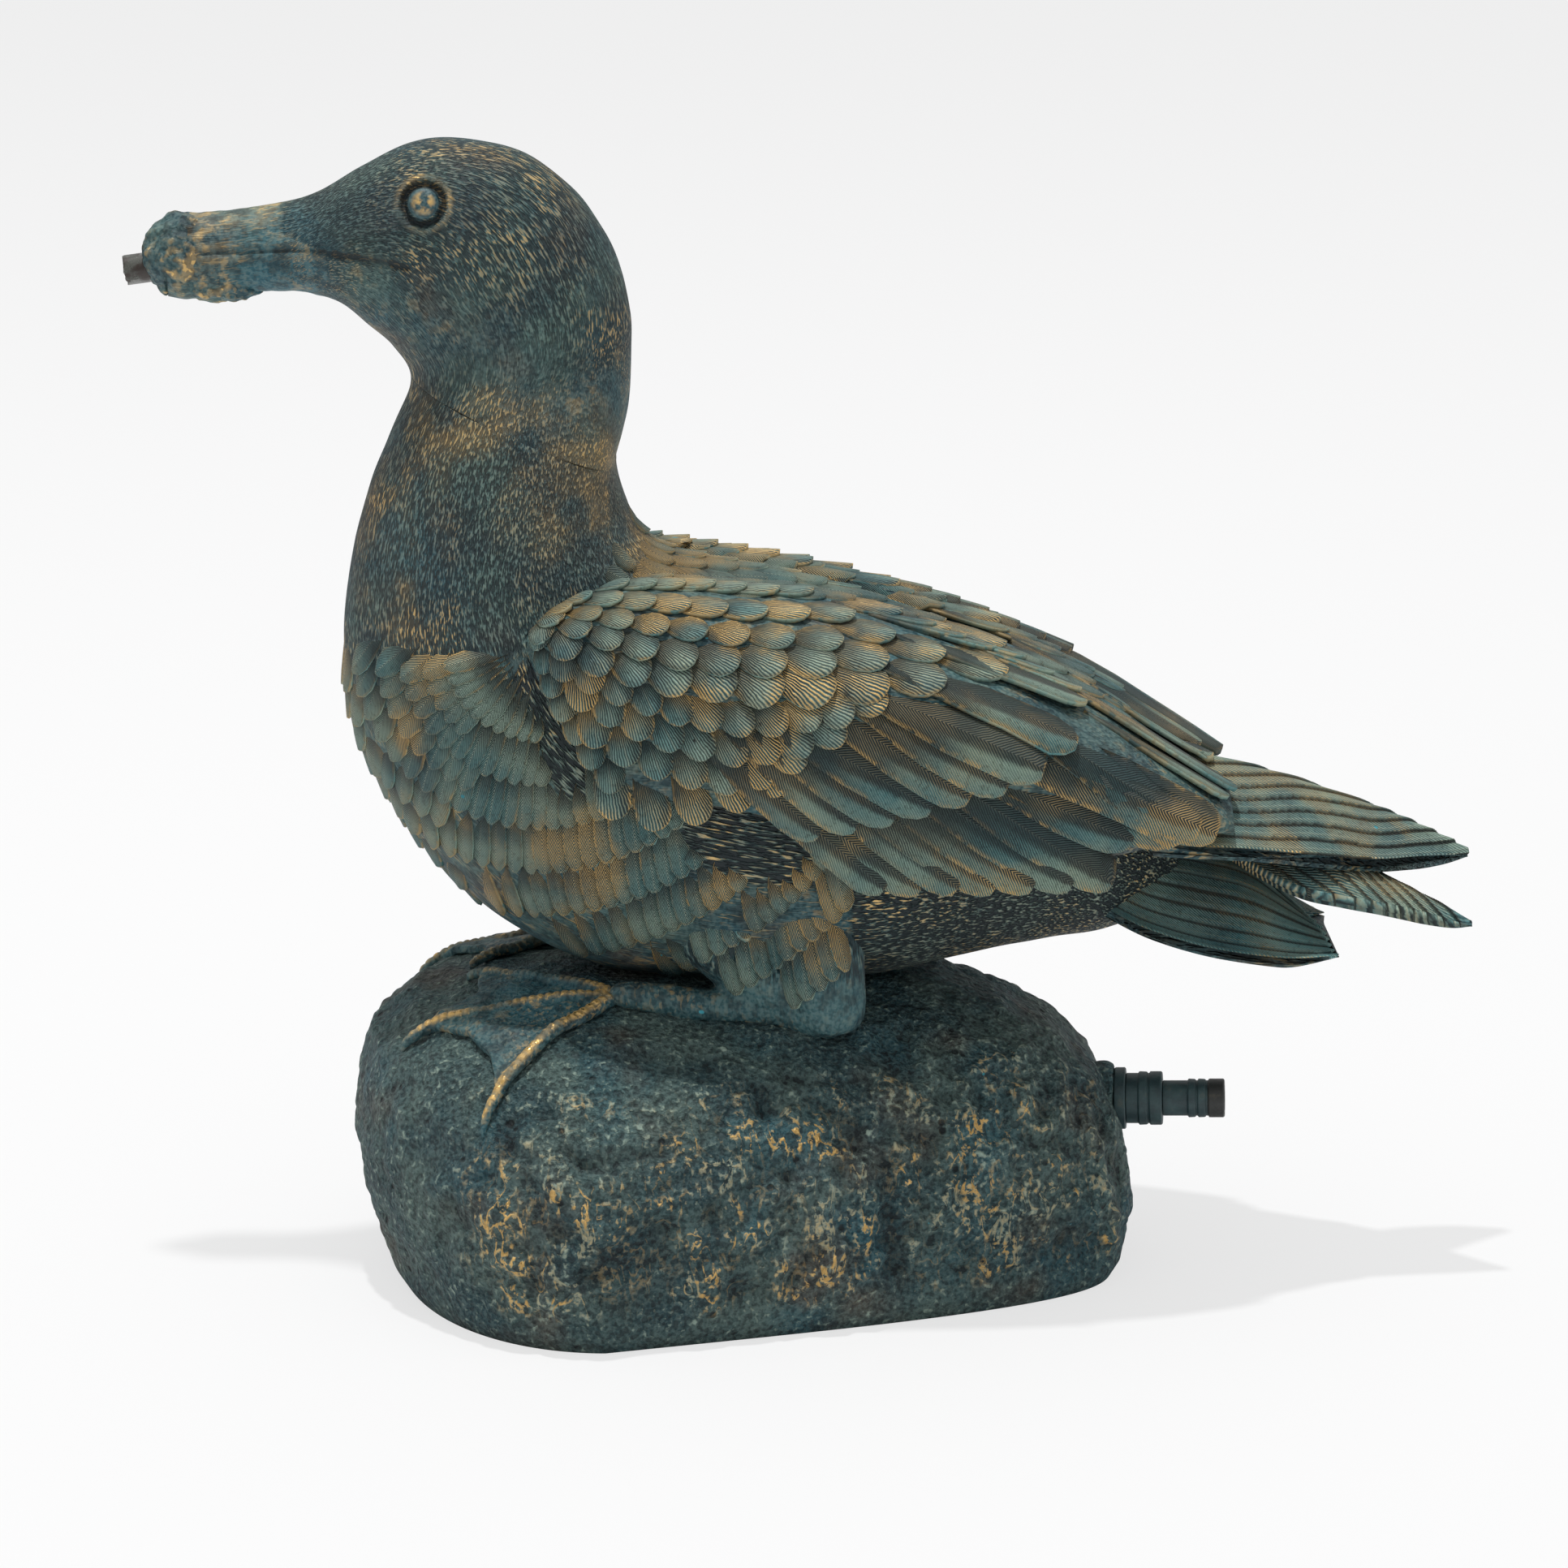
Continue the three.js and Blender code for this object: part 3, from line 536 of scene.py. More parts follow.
ring = np.exp(-((eye_gap - 0.0069) / 0.0010) ** 4)
lid = np.exp(-((eye_gap - 0.0092) / 0.0009) ** 2)
nostril = spot_at(head_points, -0.1986, 0.3695, 0.0045, 0.0013)
gape = step(head_points[:, 0], -0.152, -0.144)
groove = np.exp(-(mouth_gap / (0.0008 + 0.0008 * gape)) ** 2) * mouth_side
lip = np.exp(-((mouth_gap - 0.0022) / 0.0012) ** 2) * mouth_side
tip_lumps = step(-head_points[:, 0], 0.182, 0.197) * swell(head_points, 0.0048, 5.2)
height = (-0.0019 * ring + 0.0005 * lid - 0.0006 * groove + 0.0003 * lip - 0.0009 * nostril * mouth_side
          + 0.0008 * tip_lumps + 0.0005 * swell(head_points, 0.017, 2.2)
          + bald * 0.0002 * swell(head_points, 0.003, 8.1))
moved(head.data, height)
neck = neck_rub(head_points, 0.002, 0.016)
brow = lid * (0.45 + 0.55 * step(head_points[:, 2], 0.378, 0.389))
rubbed_tip = step(tip_lumps, 0.1, 0.5) * 0.5
ridge = bald * step(head_points[:, 2], 0.3685, 0.3735) * (0.3 + 0.3 * swell(head_points, 0.006, 4.4))
painted(head.data, "proud", np.clip(neck + brow + lip * 0.35 * bald + rubbed_tip + ridge, 0, 1))
painted(head.data, "coarse", 0.0)
faint = 0.55 * np.exp(-((above_collar(head_points) - 0.020) / 0.018) ** 2)
faint += 0.4 * step(swell(head_points, 0.028, 5.5), 0.0, 0.5)
painted(head.data, "bald", np.clip(bald + ring + lid * 0.8 + groove + faint, 0, 1))
deep = step(ring, 0.2, 0.8) + groove * (0.45 + 0.5 * gape) + nostril * mouth_side
painted(head.data, "deep", np.clip(deep, 0, 1))
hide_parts("duck_head")

# The eyes are small cast domes, one set into each side of the head. They are left rough
# by the casting, washed dark and rubbed with bronze.
def eye_relief(place):
    lumps = speckle(place, 300.0, 3.0)
    across = named("crown", "Fac")
    proud = across.between(0.3, 0.95) * lumps.between(0.40, 0.62) * 0.8
    return lumps, proud, 1.0 - across.between(0.02, 0.25)


def ground_of(net):
    """A skin on which places are looked up. Its bmesh is freed."""
    tree = BVHTree.FromBMesh(net)
    net.free()
    return tree


eye_paint = verdigris("verdigris_eye", eye_relief, rub=1.6, depth=0.0006, damp=0.42)
head_ground = ground_of(net_of(head.data))
for side, centre in zip(("left", "right"), eye_centres):
    beside = Vector((0, -0.02 if side == "left" else 0.02, 0))
    outward = head_ground.find_nearest(Vector(centre) + beside)[1]
    net = bmesh.new()
    bmesh.ops.create_uvsphere(net, u_segments=40, v_segments=24, radius=0.0056)
    crown_layer = net.verts.layers.float.new("crown")
    for vertex in net.verts:
        share = vertex.co.z / 0.0056
        vertex[crown_layer] = max(share, 0) ** 2
        vertex.co.z = 0.0031 * share + 0.00035 * max(0, 0.5 - (vertex.co.xy.length / 0.0022) ** 2)
    turned = Vector((0, 0, 1)).rotation_difference(outward).to_matrix().to_4x4()
    bmesh.ops.transform(net, matrix=Matrix.Translation(Vector(centre)) @ turned, verts=net.verts)
    eye = shown(side + "_eye_dome", net, eye_paint)
    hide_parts(side + "_eye")

# The rock is a hollow casting with a plate let into its underside. Its front is smooth
# and finely pitted, its flanks carry low upright ridges, and a plain band runs round the foot.
rock_levels = np.array([
    [0, 0.9, 0.95, 0.955], [0.05, 0.925, 0.975, 0.98], [0.25, 0.975, 1, 1], [0.48, 1, 0.967, 0.985],
    [0.66, 0.99, 0.89, 0.92], [0.8, 0.965, 0.77, 0.81], [0.9, 0.875, 0.62, 0.64],
    [0.965, 0.665, 0.46, 0.44], [0.995, 0.48, 0.26, 0.26], [1.0, 0.377, 0.01, 0.01]])
rock_widest = -0.055


def rock_place(turn, way):
    share_up = np.interp(way, [0, 0.06, 0.3, 0.5, 0.65, 0.77, 0.87, 0.94, 0.985, 1], rock_levels[:, 0])
    front = -0.146 * np.interp(share_up, rock_levels[:, 0], rock_levels[:, 1])
    rear = 0.129 * np.interp(share_up, rock_levels[:, 0], rock_levels[:, 2])
    half = 0.107 * np.interp(share_up, rock_levels[:, 0], rock_levels[:, 3])
    side = np.cos(turn * 2 * math.pi)
    forward = side < 0
    share = np.where(forward, -side, np.abs(side) ** 0.55)
    x = rock_widest + np.where(forward, front - rock_widest, rear - rock_widest) * share
    taper = (1 - 0.5 * share) * np.clip(1 - share ** 4.5, 0, 1) ** (1 / 4.5)
    width = half * np.where(forward, np.sqrt(np.clip(1 - share * share, 0, 1)), taper)
    return np.stack([x, np.sign(np.sin(turn * 2 * math.pi)) * width, share_up * 0.11], axis=1)


def rock_relief(place):
    """Pits, a hard grain, and short upright worm-like ridges that take the bronze."""
    upright = Wire.node("ShaderNodeMapping", {}, {"Vector": place, "Scale": (1.0, 1.0, 0.5)})
    lumps = speckle(place, 420.0, 5.0)
    pits = Wire.node("ShaderNodeTexVoronoi", {}, {"Vector": place, "Scale": 150.0}).other("Distance")
    worms = Wire.node("ShaderNodeTexNoise", {}, {
        "Vector": upright, "Scale": 150.0, "Detail": 4.0, "Distortion": 0.9})
    line = (1.0 - abs(worms - 0.5) * 21.0).between(0.1, 0.7)
    patch = speckle(upright, 40.0, 2.0)
    flank = named("flank", "Fac")
    lump = named("lump", "Fac")
    ridge = line * patch.between(0.26, 0.44) * flank * (0.15 + lump.between(-0.1, 0.3))
    holes = 1.0 - pits.between(0.1, 0.24)
    sparse = speckle(place, 60.0).between(0.5, 0.62)
    grain = lumps.between(0.25, 0.75)
    height = grain * 1.2 + ridge * 0.5 - holes * sparse * 1.2 + lump * 0.5 - 0.2
    hollow = holes * sparse * 0.9 + (1.0 - lumps.between(0.36, 0.49)) * 0.65
    hollow = hollow + (0.0 - lump).between(0.0, 0.6) * 0.55
    specks = lumps.between(0.58, 0.65) * patch.between(0.34, 0.48) * flank * lump.between(-0.2, 0.3)
    return height, ridge * lumps.between(0.42, 0.54) * 1.1 + specks * 0.7, hollow.clipped()


stone = verdigris("verdigris_stone", rock_relief, rub=1.6, brown=1.1, depth=0.0018, damp=0.6,
                  deep=(34, 66, 72), pale=(76, 98, 94), frost=0.8)
net = rolled(340, 215, rock_place)
closed_ends(net)
rock = shown("rock_casting", net, stone)
rock_points = points_of(rock.data)
outward = normals_of(rock.data)
flank = step(np.abs(outward[:, 1]) + 0.4 * outward[:, 0], 0.45, 0.8)
flank *= step(rock_points[:, 2], 0.008, 0.02)
upper = step(outward[:, 2], 0.3, 0.8)
band = step(rock_points[:, 2], 0.006, 0.014)
squeezed = rock_points * np.array([1.0, 1.0, 0.45])
lump = 0.7 * swell(squeezed, 0.011, 6.6) + 0.6 * swell(rock_points, 0.0068, 9.3)
lump *= 0.35 + 0.65 * flank
height = 0.0016 * swell(rock_points, 0.05, 0.4) + 0.0040 * lump + 0.0007 * swell(rock_points, 0.004, 4.4)
height *= band
moved(rock.data, height)
painted(rock.data, "lump", lump * band)
fading = 1 - 0.7 * step(rock_points[:, 2], 0.075, 0.095)
painted(rock.data, "flank", flank * (1 - upper) * band * fading)
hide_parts("rock_base")

# The legs lie back along the rock: a plumed thigh, a round heel and a shank that runs
# forward over the rock, all one casting that melts softly into the trunk and the stone.
rock_ground = ground_of(net_of(rock.data))


def rock_top(x, y):
    return rock_ground.ray_cast(Vector((x, y, 0.3)), Vector((0, 0, -1)))[0].z


def bar_place(path):
    """A round bar through rows of X, Y, Z and radius, rounded off at both ends."""
    def place_of(turn, way):
        rows = row_along(path, way)
        ahead = row_along(path, np.clip(way + 0.01, 0, 1))
        behind = row_along(path, np.clip(way - 0.01, 0, 1))
        along = ahead[:, :3] - behind[:, :3]
        along /= np.linalg.norm(along, axis=1)[:, None]
        across = np.cross(along, np.array([0.05, 1, 0.1]))
        across /= np.linalg.norm(across, axis=1)[:, None]
        over = np.cross(across, along)
        cap = np.sqrt(np.clip(1 - np.clip(np.abs(way * 2 - 1) * 1.12 - 0.12, 0, 1) ** 8, 0.02, 1))
        radius = (rows[:, 3] * cap)[:, None]
        angle = (turn * 2 * math.pi)[:, None]
        return rows[:, :3] + radius * (np.cos(angle) * across + np.sin(angle) * over)
    return place_of


def bar(around, along, path):
    net = rolled(around, along, bar_place(path))
    closed_ends(net)
    return net


def joined(nets):
    """Several closed skins in one bmesh."""
    whole = bmesh.new()
    for part in nets:
        mesh = bpy.data.meshes.new("part")
        part.to_mesh(mesh)
        part.free()
        whole.from_mesh(mesh)
        bpy.data.meshes.remove(mesh)
    return whole


def fused(net, voxel, rounds):
    """One skin round everything in the bmesh, with its creases filled softly."""
    mesh = bpy.data.meshes.new("fused")
    net.to_mesh(mesh)
    net.free()
    shape = placed("fused", mesh)
    remesh = shape.modifiers.new("remesh", "REMESH")
    remesh.mode = "VOXEL"
    remesh.voxel_size = voxel
    smooth = shape.modifiers.new("smooth", "SMOOTH")
    smooth.factor = 0.5
    smooth.iterations = rounds
    depsgraph = bpy.context.evaluated_depsgraph_get()
    done = bpy.data.meshes.new_from_object(shape.evaluated_get(depsgraph))
    bpy.data.objects.remove(shape)
    made = net_of(done)
    bpy.data.meshes.remove(done)
    return made


smooth_skin = verdigris("verdigris_legs", plume_strokes, depth=0.0012,
                        deep=(24, 66, 74), pale=(56, 94, 98), frost=0.3)
heel = (0.022, -0.048)
ankle = np.array([-0.052, -0.045])
heel_z = rock_top(*heel)
thigh = np.array([[0.006, -0.030, perch + 0.052, 0.024], [0.011, -0.036, perch + 0.038, 0.0225],
                  [0.015, -0.041, perch + 0.020, 0.0190], [0.018, -0.045, perch + 0.006, 0.0160],
                  [0.021, -0.047, perch - 0.004, 0.0132], [0.0225, -0.048, heel_z - 0.001, 0.0117]])
front_thigh = np.array([[-0.022, -0.034, perch + 0.040, 0.022], [-0.014, -0.038, perch + 0.024, 0.0195],
                        [-0.003, -0.042, perch + 0.010, 0.0150], [0.010, -0.046, perch - 0.002, 0.0105],
                        [0.018, -0.047, heel_z + 0.004, 0.0095]])
shank = np.array([[0.026, -0.048, heel_z + 0.003, 0.0095]] + [
    [heel[0] + (ankle[0] - heel[0]) * share, heel[1] + (ankle[1] - heel[1]) * share,
     rock_top(heel[0] + (ankle[0] - heel[0]) * share, heel[1] + (ankle[1] - heel[1]) * share) + 0.0038,
     0.0068 - 0.0016 * share] for share in (0.12, 0.35, 0.6, 0.85, 1.04)])
leg_net = fused(joined([bar(48, 60, thigh), bar(48, 60, front_thigh), bar(36, 80, shank)]), 0.0009, 22)
leg = shown("left_leg_skin", leg_net, smooth_skin)
points = points_of(leg.data)
plumed = step(points[:, 2], 0.112, 0.124)
painted(leg.data, "grain", points[:, [2, 0, 1]] / np.array([0.006, 0.0014, 0.0014]))
painted(leg.data, "coarse", plumed * 0.5)
painted(leg.data, "bald", np.clip(1 - plumed, 0.1, 0.85))
top = step(normals_of(leg.data)[:, 2], 0.5, 0.9)
painted(leg.data, "proud", (1 - plumed) * top * step(swell(points, 0.0035, 2.0), 0.1, 0.5) * 0.35)
moved(leg.data, 0.0006 * swell(points, 0.011, 3.3) + (1 - plumed) * 0.0003 * swell(points, 0.003, 7.7))
leg_far = mirror_copy(leg, "right_leg_skin")
for piece, side in ((leg, "left"), (leg_far, "right")):
    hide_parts(side + "_leg")

# Each foot is cast flat on the rock: three toes ringed with scutes that take the bronze,
# and a thin web between them whose front edge swings back in two scallops.
toe_tips = np.array([[-0.095, -0.085], [-0.124, -0.044], [-0.104, -0.008]])


def toe_spot(across, reach):
    tip = np.array([np.interp(across, [0, 1, 2], toe_tips[:, axis]) for axis in (0, 1)])
    return ankle + (tip - ankle) * reach


toe_bars = []
for toe in range(3):
    rows = []
    for share in np.linspace(-0.04, 1.0, 9):
        x, y = toe_spot(toe, share)
        radius = 0.0027 - 0.0009 * max(share, 0) ** 1.5
        rows.append([x, y, rock_top(x, y) + 0.0024 + 0.0016 * share * (1.2 - share), radius])
    x, y = toe_spot(toe, 1.04)
    rows.append([x, y, rock_top(x, y) - 0.0002, 0.0010])
    toe_bars.append(bar(24, 90, np.array(rows)))
web = bmesh.new()
bmesh.ops.create_grid(web, x_segments=48, y_segments=40, size=1)
for vertex in web.verts:
    across, along = vertex.co.x + 1, 0.08 + 0.92 * (vertex.co.y + 1) / 2
    scallop = 0.13 * math.sin(math.pi * (across % 1)) + 0.015 * math.sin(math.pi * across * 3)
    reach = along * (0.95 - scallop)
    x, y = toe_spot(across, reach)
    vertex.co = (x, y, rock_top(x, y) + 0.0026 + 0.0014 * along)
bmesh.ops.recalc_face_normals(web, faces=web.faces)
if sum(face.normal.z for face in web.faces) < 0:
    bmesh.ops.reverse_faces(web, faces=web.faces[:])
bmesh.ops.solidify(web, geom=web.faces[:], thickness=0.0030)
foot_net = fused(joined(toe_bars + [web]), 0.00062, 5)
foot = shown("left_foot_skin", foot_net, smooth_skin)
points = points_of(foot.data)
near_toe = np.full(len(points), 1.0)
along_toe = np.zeros(len(points))
for tip in toe_tips:
    way = tip - ankle
    share = np.clip(((points[:, :2] - ankle) @ way) / (way @ way), 0, 1.05)
    gap = np.linalg.norm(points[:, :2] - ankle - share[:, None] * way, axis=1)
    closer = gap < near_toe
    near_toe = np.where(closer, gap, near_toe)
    along_toe = np.where(closer, share * np.hypot(*way), along_toe)
crest = (1 - step(near_toe, 0.0011, 0.0025)) * step(normals_of(foot.data)[:, 2], 0.2, 0.6)
scute = np.abs(np.sin(along_toe * math.pi / 0.0028)) ** 0.6
moved(foot.data, crest * (scute - 0.5) * 0.0006 + (1 - crest) * 0.0003 * swell(points, 0.005, 1.9))
# The inner toe takes a fifth of the bronze of the others.
inner = step(points[:, 1] + 0.26 * (points[:, 0] + 0.052), -0.042, -0.036)
worn = (0.4 + 1.6 * scute) * (1.4 + 0.8 * swell(points, 0.004, 6.2))
painted(foot.data, "proud", crest * worn * (1 - 0.8 * inner))
painted(foot.data, "grain", points / 0.0016)
painted(foot.data, "coarse", 0.0)
painted(foot.data, "bald", 0.85)
foot_far = mirror_copy(foot, "right_foot_skin")
for piece, side in ((foot, "left"), (foot_far, "right")):
    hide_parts(side + "_foot")

# Each wing is cast as a thick shell that hugs the trunk, with long quills behind it that
# cross over the tail. Rows of overlapping scales are cut on it, small at the shoulder and
# long behind, each with a raised shaft, fine barbs, a thin rubbed rim and painted shade
# where the scale above covers it.
wing_cover = np.array([
    [-81, 54, 130, 58, 127, 57, 124], [-72, 45, 139, 66, 125, 66, 104], [-60, 37, 143, 70, 121, 70.5, 88],
    [-42, 29, 144.5, 73, 115, 73, 75], [-18, 22, 142, 75, 110, 74, 72], [4, 18, 139, 76, 106, 73, 66],
    [27, 15, 134.5, 76, 102, 71.5, 53], [58, 11, 125.5, 74, 95, 69, 50], [88, 7.5, 114, 70, 88, 66, 50],
    [114, 5, 100.5, 65, 80, 61, 51], [134, 3, 86.5, 58, 73.5, 54, 54.5], [150, 2, 75, 51, 66, 48, 58],
    [160, 1.5, 68.5, 45, 58.5, 43.5, 56.5]]) / 1000
left_quills = np.array([
    [132, -50, 55, -9, 84, -3, 82], [150, -46, 53, -9, 76, -2, 73], [166, -41, 51, -8, 71.5, 2, 67],
    [184, -30, 46.5, -4, 65.8, 13, 58], [200, -20.5, 42.5, 2, 59, 19, 51],
    [214, -12, 39.5, 8, 52.8, 23, 46], [230, 3, 36.5, 14, 45, 24.5, 40],
    [243, 14, 34, 18, 38, 22.5, 35.5], [249, 18.5, 33, 20, 34.4, 21.5, 33]]) / 1000
right_quills = np.array([
    [132, 50, 55, 9, 82, 3, 80], [150, 46, 51, 9, 68, -10, 54], [166, 40, 45, 11, 60, -22, 43],
    [184, 31, 39, 7, 53, -28, 34.5], [200, 23, 34, 0, 46, -27, 30.5],
    [214, 12, 28.5, -7, 34.5, -25, 27.5], [228, -3, 24, -13, 28.5, -23.5, 24],
    [240, -13.5, 20, -17, 22.8, -21.5, 19.8], [246, -18, 18.4, -19.3, 20, -20.6, 18.4]]) / 1000


def barbed(place):
    """A scale's shaft and slanting barbs, worn bronze along its rim and over its crown, and painted shade
    on the parts that other scales cover.
    """
    barb = Wire.node("ShaderNodeSeparateXYZ", {}, {0: named("barb", "Vector")})
    phase, across, chance = barb, barb.other("Y"), barb.other("Z")
    ragged = speckle(place, 260.0, 2.0)
    lines = Wire.node("ShaderNodeMath", {"operation": "SINE"}, {0: (phase + ragged * 0.9) * 6.2832})
    shaft = 1.0 - abs(across).between(0.1, 0.75)
    rim = named("edge", "Fac")
    lines = lines * (1.0 - rim.between(0.965, 1.0))
    height = lines * 0.3 + shaft * 0.3 + 0.5 + rim.between(0.8, 1.0) * 0.2
    worn = speckle(place, 22.0, 3.0)
    gilt = named("gilt", "Fac")
    crown = lines.between(-0.1, 0.8) * gilt * (worn + chance * 0.22).between(0.42, 0.72)
    proud = rim.between(0.75, 0.95) * ragged.between(0.4, 0.52) * (0.3 + lines.between(-0.2, 0.6) * 0.6)
    proud = proud * (0.5 + 0.5 * gilt) + crown * 1.1
    # Painted shade where the reach value is low: the root under the scale above and the side tucked under
    # a neighbour.
    covered = 1.0 - named("reach", "Fac").between(0.3, 0.76)
    plain = (1.0 - gilt).between(0.0, 1.0)
    hollow = (1.0 - lines.between(-0.85, 0.1)) * (0.85 - 0.5 * plain) + covered * 0.8 + plain * 0.06
    return height, proud.clipped(), hollow.clipped()


feathered = verdigris("verdigris_feathers", barbed, rub=1.35, brown=0.3, depth=0.0009,
                      deep=(78, 132, 134), pale=(148, 174, 156), frost=0.95)


def cover_place(turn, way):
    """The cover's outer face from its top edge down, then its inner face back up."""
    x, top_y, top_z, wide_y, wide_z, low_y, low_z = row_along(wing_cover, way).T

    def outer(share):
        angle = np.clip(share / 0.7, 0, 1) * math.pi / 2
        run = np.clip((share - 0.7) / 0.3, 0, 1)
        return np.stack([top_y + (wide_y - top_y) * np.sin(angle) + (low_y - wide_y) * run ** 2,
                         wide_z + (top_z - wide_z) * np.cos(angle) + (low_z - wide_z) * run])

    outside = turn < 0.5
    share = np.where(outside, turn * 2, 2 - turn * 2)
    edge = outer(share)
    along = outer(np.clip(share + 0.02, 0, 1)) - outer(np.clip(share - 0.02, 0, 1))
    along /= np.maximum(np.hypot(*along), 1e-9)
    depth = np.where(outside, 0, 0.009)
    inward_y, inward_z = along[1] * depth, along[0] * depth
    return np.stack([x, -np.maximum(edge[0] + inward_y, top_y), perch + edge[1] - inward_z], axis=1)


def blade_place(table, thickness):
    """A blade through rows of X, then of Y and height at its near edge, ridge and far edge."""
    def place_of(turn, way):
        x, near_y, near_z, ridge_y, ridge_z, far_y, far_z = row_along(table, way).T
        over = turn < 0.5
        share = np.where(over, turn * 4, 4 - turn * 4)
        part = np.where(share < 1, share, share - 1)
        spot = [np.where(share < 1, curve_at(near, near, ridge, far, part),
                         curve_at(near, ridge, far, far, part))
                for near, ridge, far in ((near_y, ridge_y, far_y), (near_z, ridge_z, far_z))]
        rim = np.where((share < 0.02) | (share > 1.98), 0.6, 1.0) * (1 - 0.8 * step(way, 0.72, 1.0))
        return np.stack([x, spot[0], perch + spot[1] - np.where(over, 0, thickness * rim)], axis=1)
    return place_of


class Plumes:
    """Scales laid one over another on a skin, gathered into one mesh."""

    def __init__(self, ground_nets):
        self.net = bmesh.new()
        self.barb = self.net.verts.layers.float_vector.new("barb")
        self.edge = self.net.verts.layers.float.new("edge")
        self.gilt = self.net.verts.layers.float.new("gilt")
        # The reach layer holds how far along its scale a point lies, lowered by painted shade where other
        # scales cover it.
        self.reach = self.net.verts.layers.float.new("reach")
        self.ground = ground_of(joined([net.copy() for net in ground_nets]))
        self.chance = random.Random(7)

    def seen(self, x, z, eye=lens_point):
        """The point of the skin seen behind a place in the bird's middle plane, or None."""
        spot = Vector((x, 0, z))
        aim = (spot - eye).normalized()
        hit = self.ground.ray_cast(eye, aim)[0]
        if hit is None:
            for _ in range(3):
                edge = self.ground.find_nearest(spot)[0]
                spot = eye + aim * ((edge.y - eye.y) / aim.y)
            hit = spot if (edge - spot).length < 0.018 else None
        return hit

    def settle(self, flat, normal, facing, slack, main):
        """A place put down on the skin, or left as it is where the skin falls away."""
        near = None
        if facing:
            near, out, _, _ = self.ground.ray_cast(flat + facing * 0.03, -facing)
        if near is None:
            near, out, _, _ = self.ground.find_nearest(flat)
        if abs((near - flat).dot(normal)) > slack or (near - flat).length > 2 * slack + 0.002 or (
                out.dot(normal) < 0.55) or out.dot(main) < 0.5:
            return flat, normal, 1
        return near, out, 0

    def lay(self, tip, root_way, length, width, lift=0.0013, roll=0.0004, slant=1.6, pitch=0.0013,
            point=0.55, gilt=0.5, rows=6, sink=0.0007, spread=0.0, shade=1.0, facing=None):
        """One scale from its tip, the way back to its root, and its length and width."""
        normal, allowed = self.ground.find_nearest(tip)[1], 0.4 if facing else 0.6
        if facing:
            facing = (facing + Vector((0, 0, 1.6 * max(0.0, normal.z)))).normalized()
            probe = min(0.6 * length, 0.014)
            inward = tip + root_way.normalized() * probe + facing * 0.04
            spot, out, _, _ = self.ground.ray_cast(inward, -facing)
            if spot and (spot - inward).length < 0.07:
                normal, allowed = out, 0.7
                if self.settle(tip, normal, facing, 0.004, normal)[2]:
                    tip = tip + normal * (spot - tip).dot(normal)
            if normal.dot(facing) < 0.3:
                return
        reaches = [1 - (1 - row / rows) ** 1.6 for row in range(rows + 1)]
        near, out, _ = self.settle(tip, normal, facing, 0.004, normal)
        walk, lost, sign = {}, 0, 0
        for row in range(rows, -1, -1):
            back = (root_way - out * root_way.dot(out)).normalized()
            across = out.cross(back)
            sign = sign or (-1 if across.z > 0 else 1)
            walk[row] = (near, out, across * sign)
            if row:
                gap = length * (reaches[row] - reaches[row - 1])
                near, out, off = self.settle(near + back * gap, out, facing, 0.0015 + 0.4 * gap, normal)
                lost += off
        if lost > rows * allowed:
            return
        made = bmesh.ops.create_grid(self.net, x_segments=4, y_segments=rows, size=1)["verts"]
        turn_in = 1 - point * width / length
        luck = self.chance.random()
        for vertex in made:
            side, row = vertex.co.x, round((vertex.co.y + 1) / 2 * rows)
            centre, out, across = walk[row]
            reach = reaches[row]
            bend = max(0.0, (reach * 0.985 - turn_in) / (1 - turn_in))
            half = 0.5 * width * min(1, 0.55 + 0.9 * reach) * math.sqrt(max(0.0, 1 - bend * bend))
            near = centre + across * (side * half)
            if abs(side) > 0.01:
                near, out, _ = self.settle(near, out, facing, 0.0008 + 0.45 * abs(side) * half, normal)
            arch = 0.06 * width * (1 - side * side) * reach
            rise = -sink + (lift + sink) * reach ** 1.3 + arch + roll * side
            vertex.co = near + out * rise
            down = length * (1 - reach) + slant * abs(side) * half
            if spread:
                down = side * half / (length * (reach + 0.35)) * spread * pitch
            vertex[self.barb] = (down / pitch, side * half * 1000, luck)
            vertex[self.edge] = 1.0 if reach > 0.999 else abs(side)
            vertex[self.gilt] = gilt
            # Painted shade: the root under the scale above and the side tucked under a neighbour get a
            # low reach value, which the paint darkens.
            tucked_shade_from = 0.4 if roll > 0.001 else 0.0
            tucked_shade = min(1.0, max(0.0, tucked_shade_from - side) * 2.4) * min(1, roll / 0.0012)
            vertex[self.reach] = 1 - shade * (1 - min(reach, 1 - tucked_shade))
        faces = list(dict.fromkeys(face for vertex in made for face in vertex.link_faces))
        middle = faces[len(faces) // 2]
        middle.normal_update()
        if middle.normal.dot(walk[0][1]) < 0:
            bmesh.ops.reverse_faces(self.net, faces=faces)

